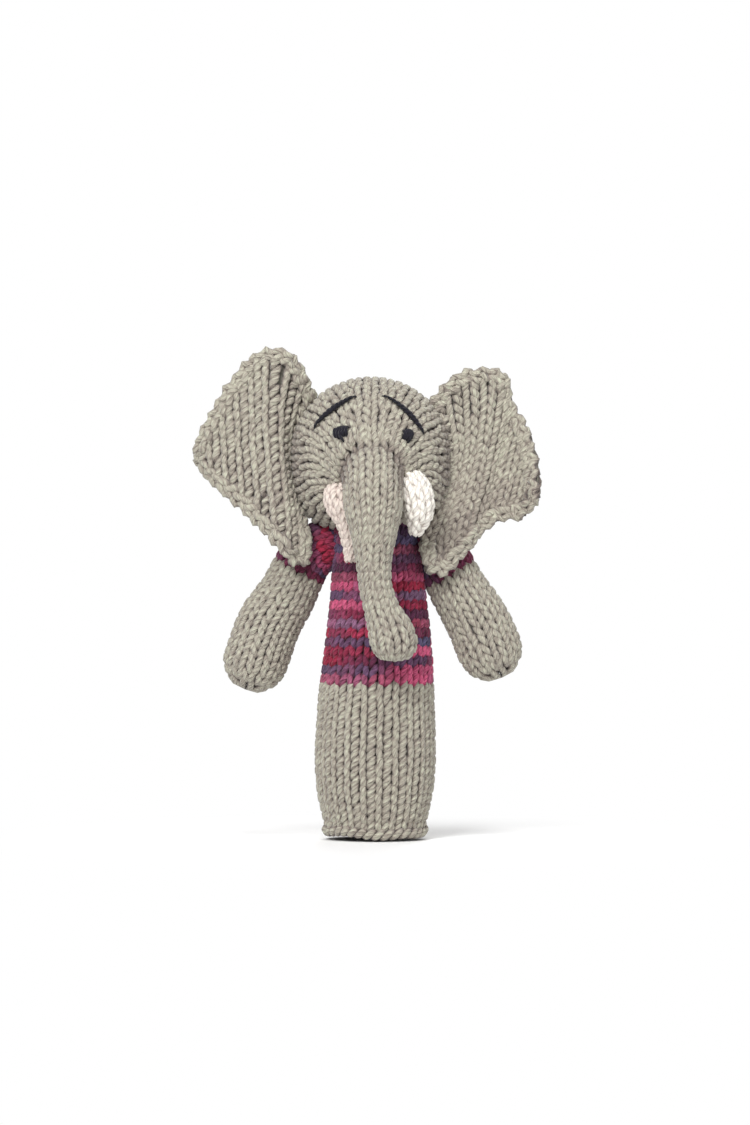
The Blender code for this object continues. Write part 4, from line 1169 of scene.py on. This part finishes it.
def add_camera():
    camera = bpy.data.cameras.new("camera")
    camera.sensor_width = SENSOR
    camera.lens = SENSOR * CAMERA_DISTANCE / (PHOTO_SIZE[1] * METRES_PER_PIXEL)
    camera.clip_start = 0.01
    obj = add_object("camera", camera)
    obj.location = (0, -CAMERA_DISTANCE, (HEM_PIXEL - PHOTO_SIZE[1] / 2) * METRES_PER_PIXEL)
    obj.rotation_euler = (math.pi / 2, 0, 0)
    bpy.context.scene.camera = obj
    bpy.context.scene.view_settings.view_transform = "Standard"


def add_lamps():
    for name, location, size, power in LAMPS:
        light = bpy.data.lights.new(name, "AREA")
        light.shape = "DISK"
        light.size = size
        light.energy = power
        obj = add_object(name, light)
        obj.location = location
        aim = Vector(LAMPS_AIM) - Vector(location)
        obj.rotation_euler = aim.to_track_quat("-Z", "Y").to_euler()


def light_room():
    """White where the camera or a reflection sees it, and dimmer as light."""
    world = bpy.data.worlds.new("studio")
    bpy.context.scene.world = world
    world.use_nodes = True
    tree = world.node_tree
    rays = add_node(tree, "ShaderNodeLightPath").outputs
    seen = compute(tree, "MAXIMUM", rays["Is Camera Ray"], rays["Is Glossy Ray"])
    strength = remap(tree, seen, 0.0, 1.0, ROOM_LIGHT, 1.0)
    feed(tree, tree.nodes["Background"], {"Color": (1, 1, 1, 1), "Strength": strength})


def add_floor():
    """Pale round the puppet, where it takes the shadow, and lost in the white further out."""
    mesh = bpy.data.meshes.new("floor")
    corners = [(x * FLOOR_REACH, y * FLOOR_REACH, 0) for x, y in ((-1, -1), (1, -1), (1, 1), (-1, 1))]
    mesh.from_pydata(corners, [], [(0, 1, 2, 3)])
    floor = add_object("floor", mesh)
    floor.location.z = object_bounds()[0].z - 0.0002
    material, tree, shader = new_material("pale_floor")
    feed(tree, shader, {"Base Color": (0.9, 0.9, 0.9, 1), "Roughness": 0.9})
    glow = add_node(tree, "ShaderNodeEmission", {"Strength": 1.0})
    place = add_node(tree, "ShaderNodeTexCoord").outputs["Object"]
    distance = compute_vector(tree, "LENGTH", {0: place}, "Value")
    fade = remap(tree, distance, *FLOOR_FADE, smooth=True)
    blend = add_node(tree, "ShaderNodeMixShader", {0: fade, 1: shader.outputs[0], 2: glow.outputs[0]})
    feed(tree, tree.nodes["Material Output"], {"Surface": blend.outputs[0]})
    mesh.materials.append(material)


ARM_LINES = {"left": LEFT_ARM_LINE, "right": RIGHT_ARM_LINE}
EARS = {
    "left": (-1, LEFT_EAR_UPPER, LEFT_EAR_LOWER, LEFT_EAR_SEAM, LEFT_EAR_FORWARD),
    "right": (1, RIGHT_EAR_UPPER, RIGHT_EAR_LOWER, RIGHT_EAR_SEAM, RIGHT_EAR_FORWARD),
}
# The left tusk is painted darker and rosier, as the shade it lies in
TUSKS = {
    "left": (LEFT_TUSK_LINE, LEFT_TUSK_HALF_WIDTHS, shaded_cream_wool),
    "right": (RIGHT_TUSK_LINE, RIGHT_TUSK_HALF_WIDTHS, cream_wool),
}

make_body()
make_head()
for make_piece in (make_arm, make_ear, make_tusk, make_eye, make_brow):
    for each_side in ("left", "right"):
        make_piece(each_side)
finish_stuffing()
add_camera()
add_lamps()
light_room()
add_floor()
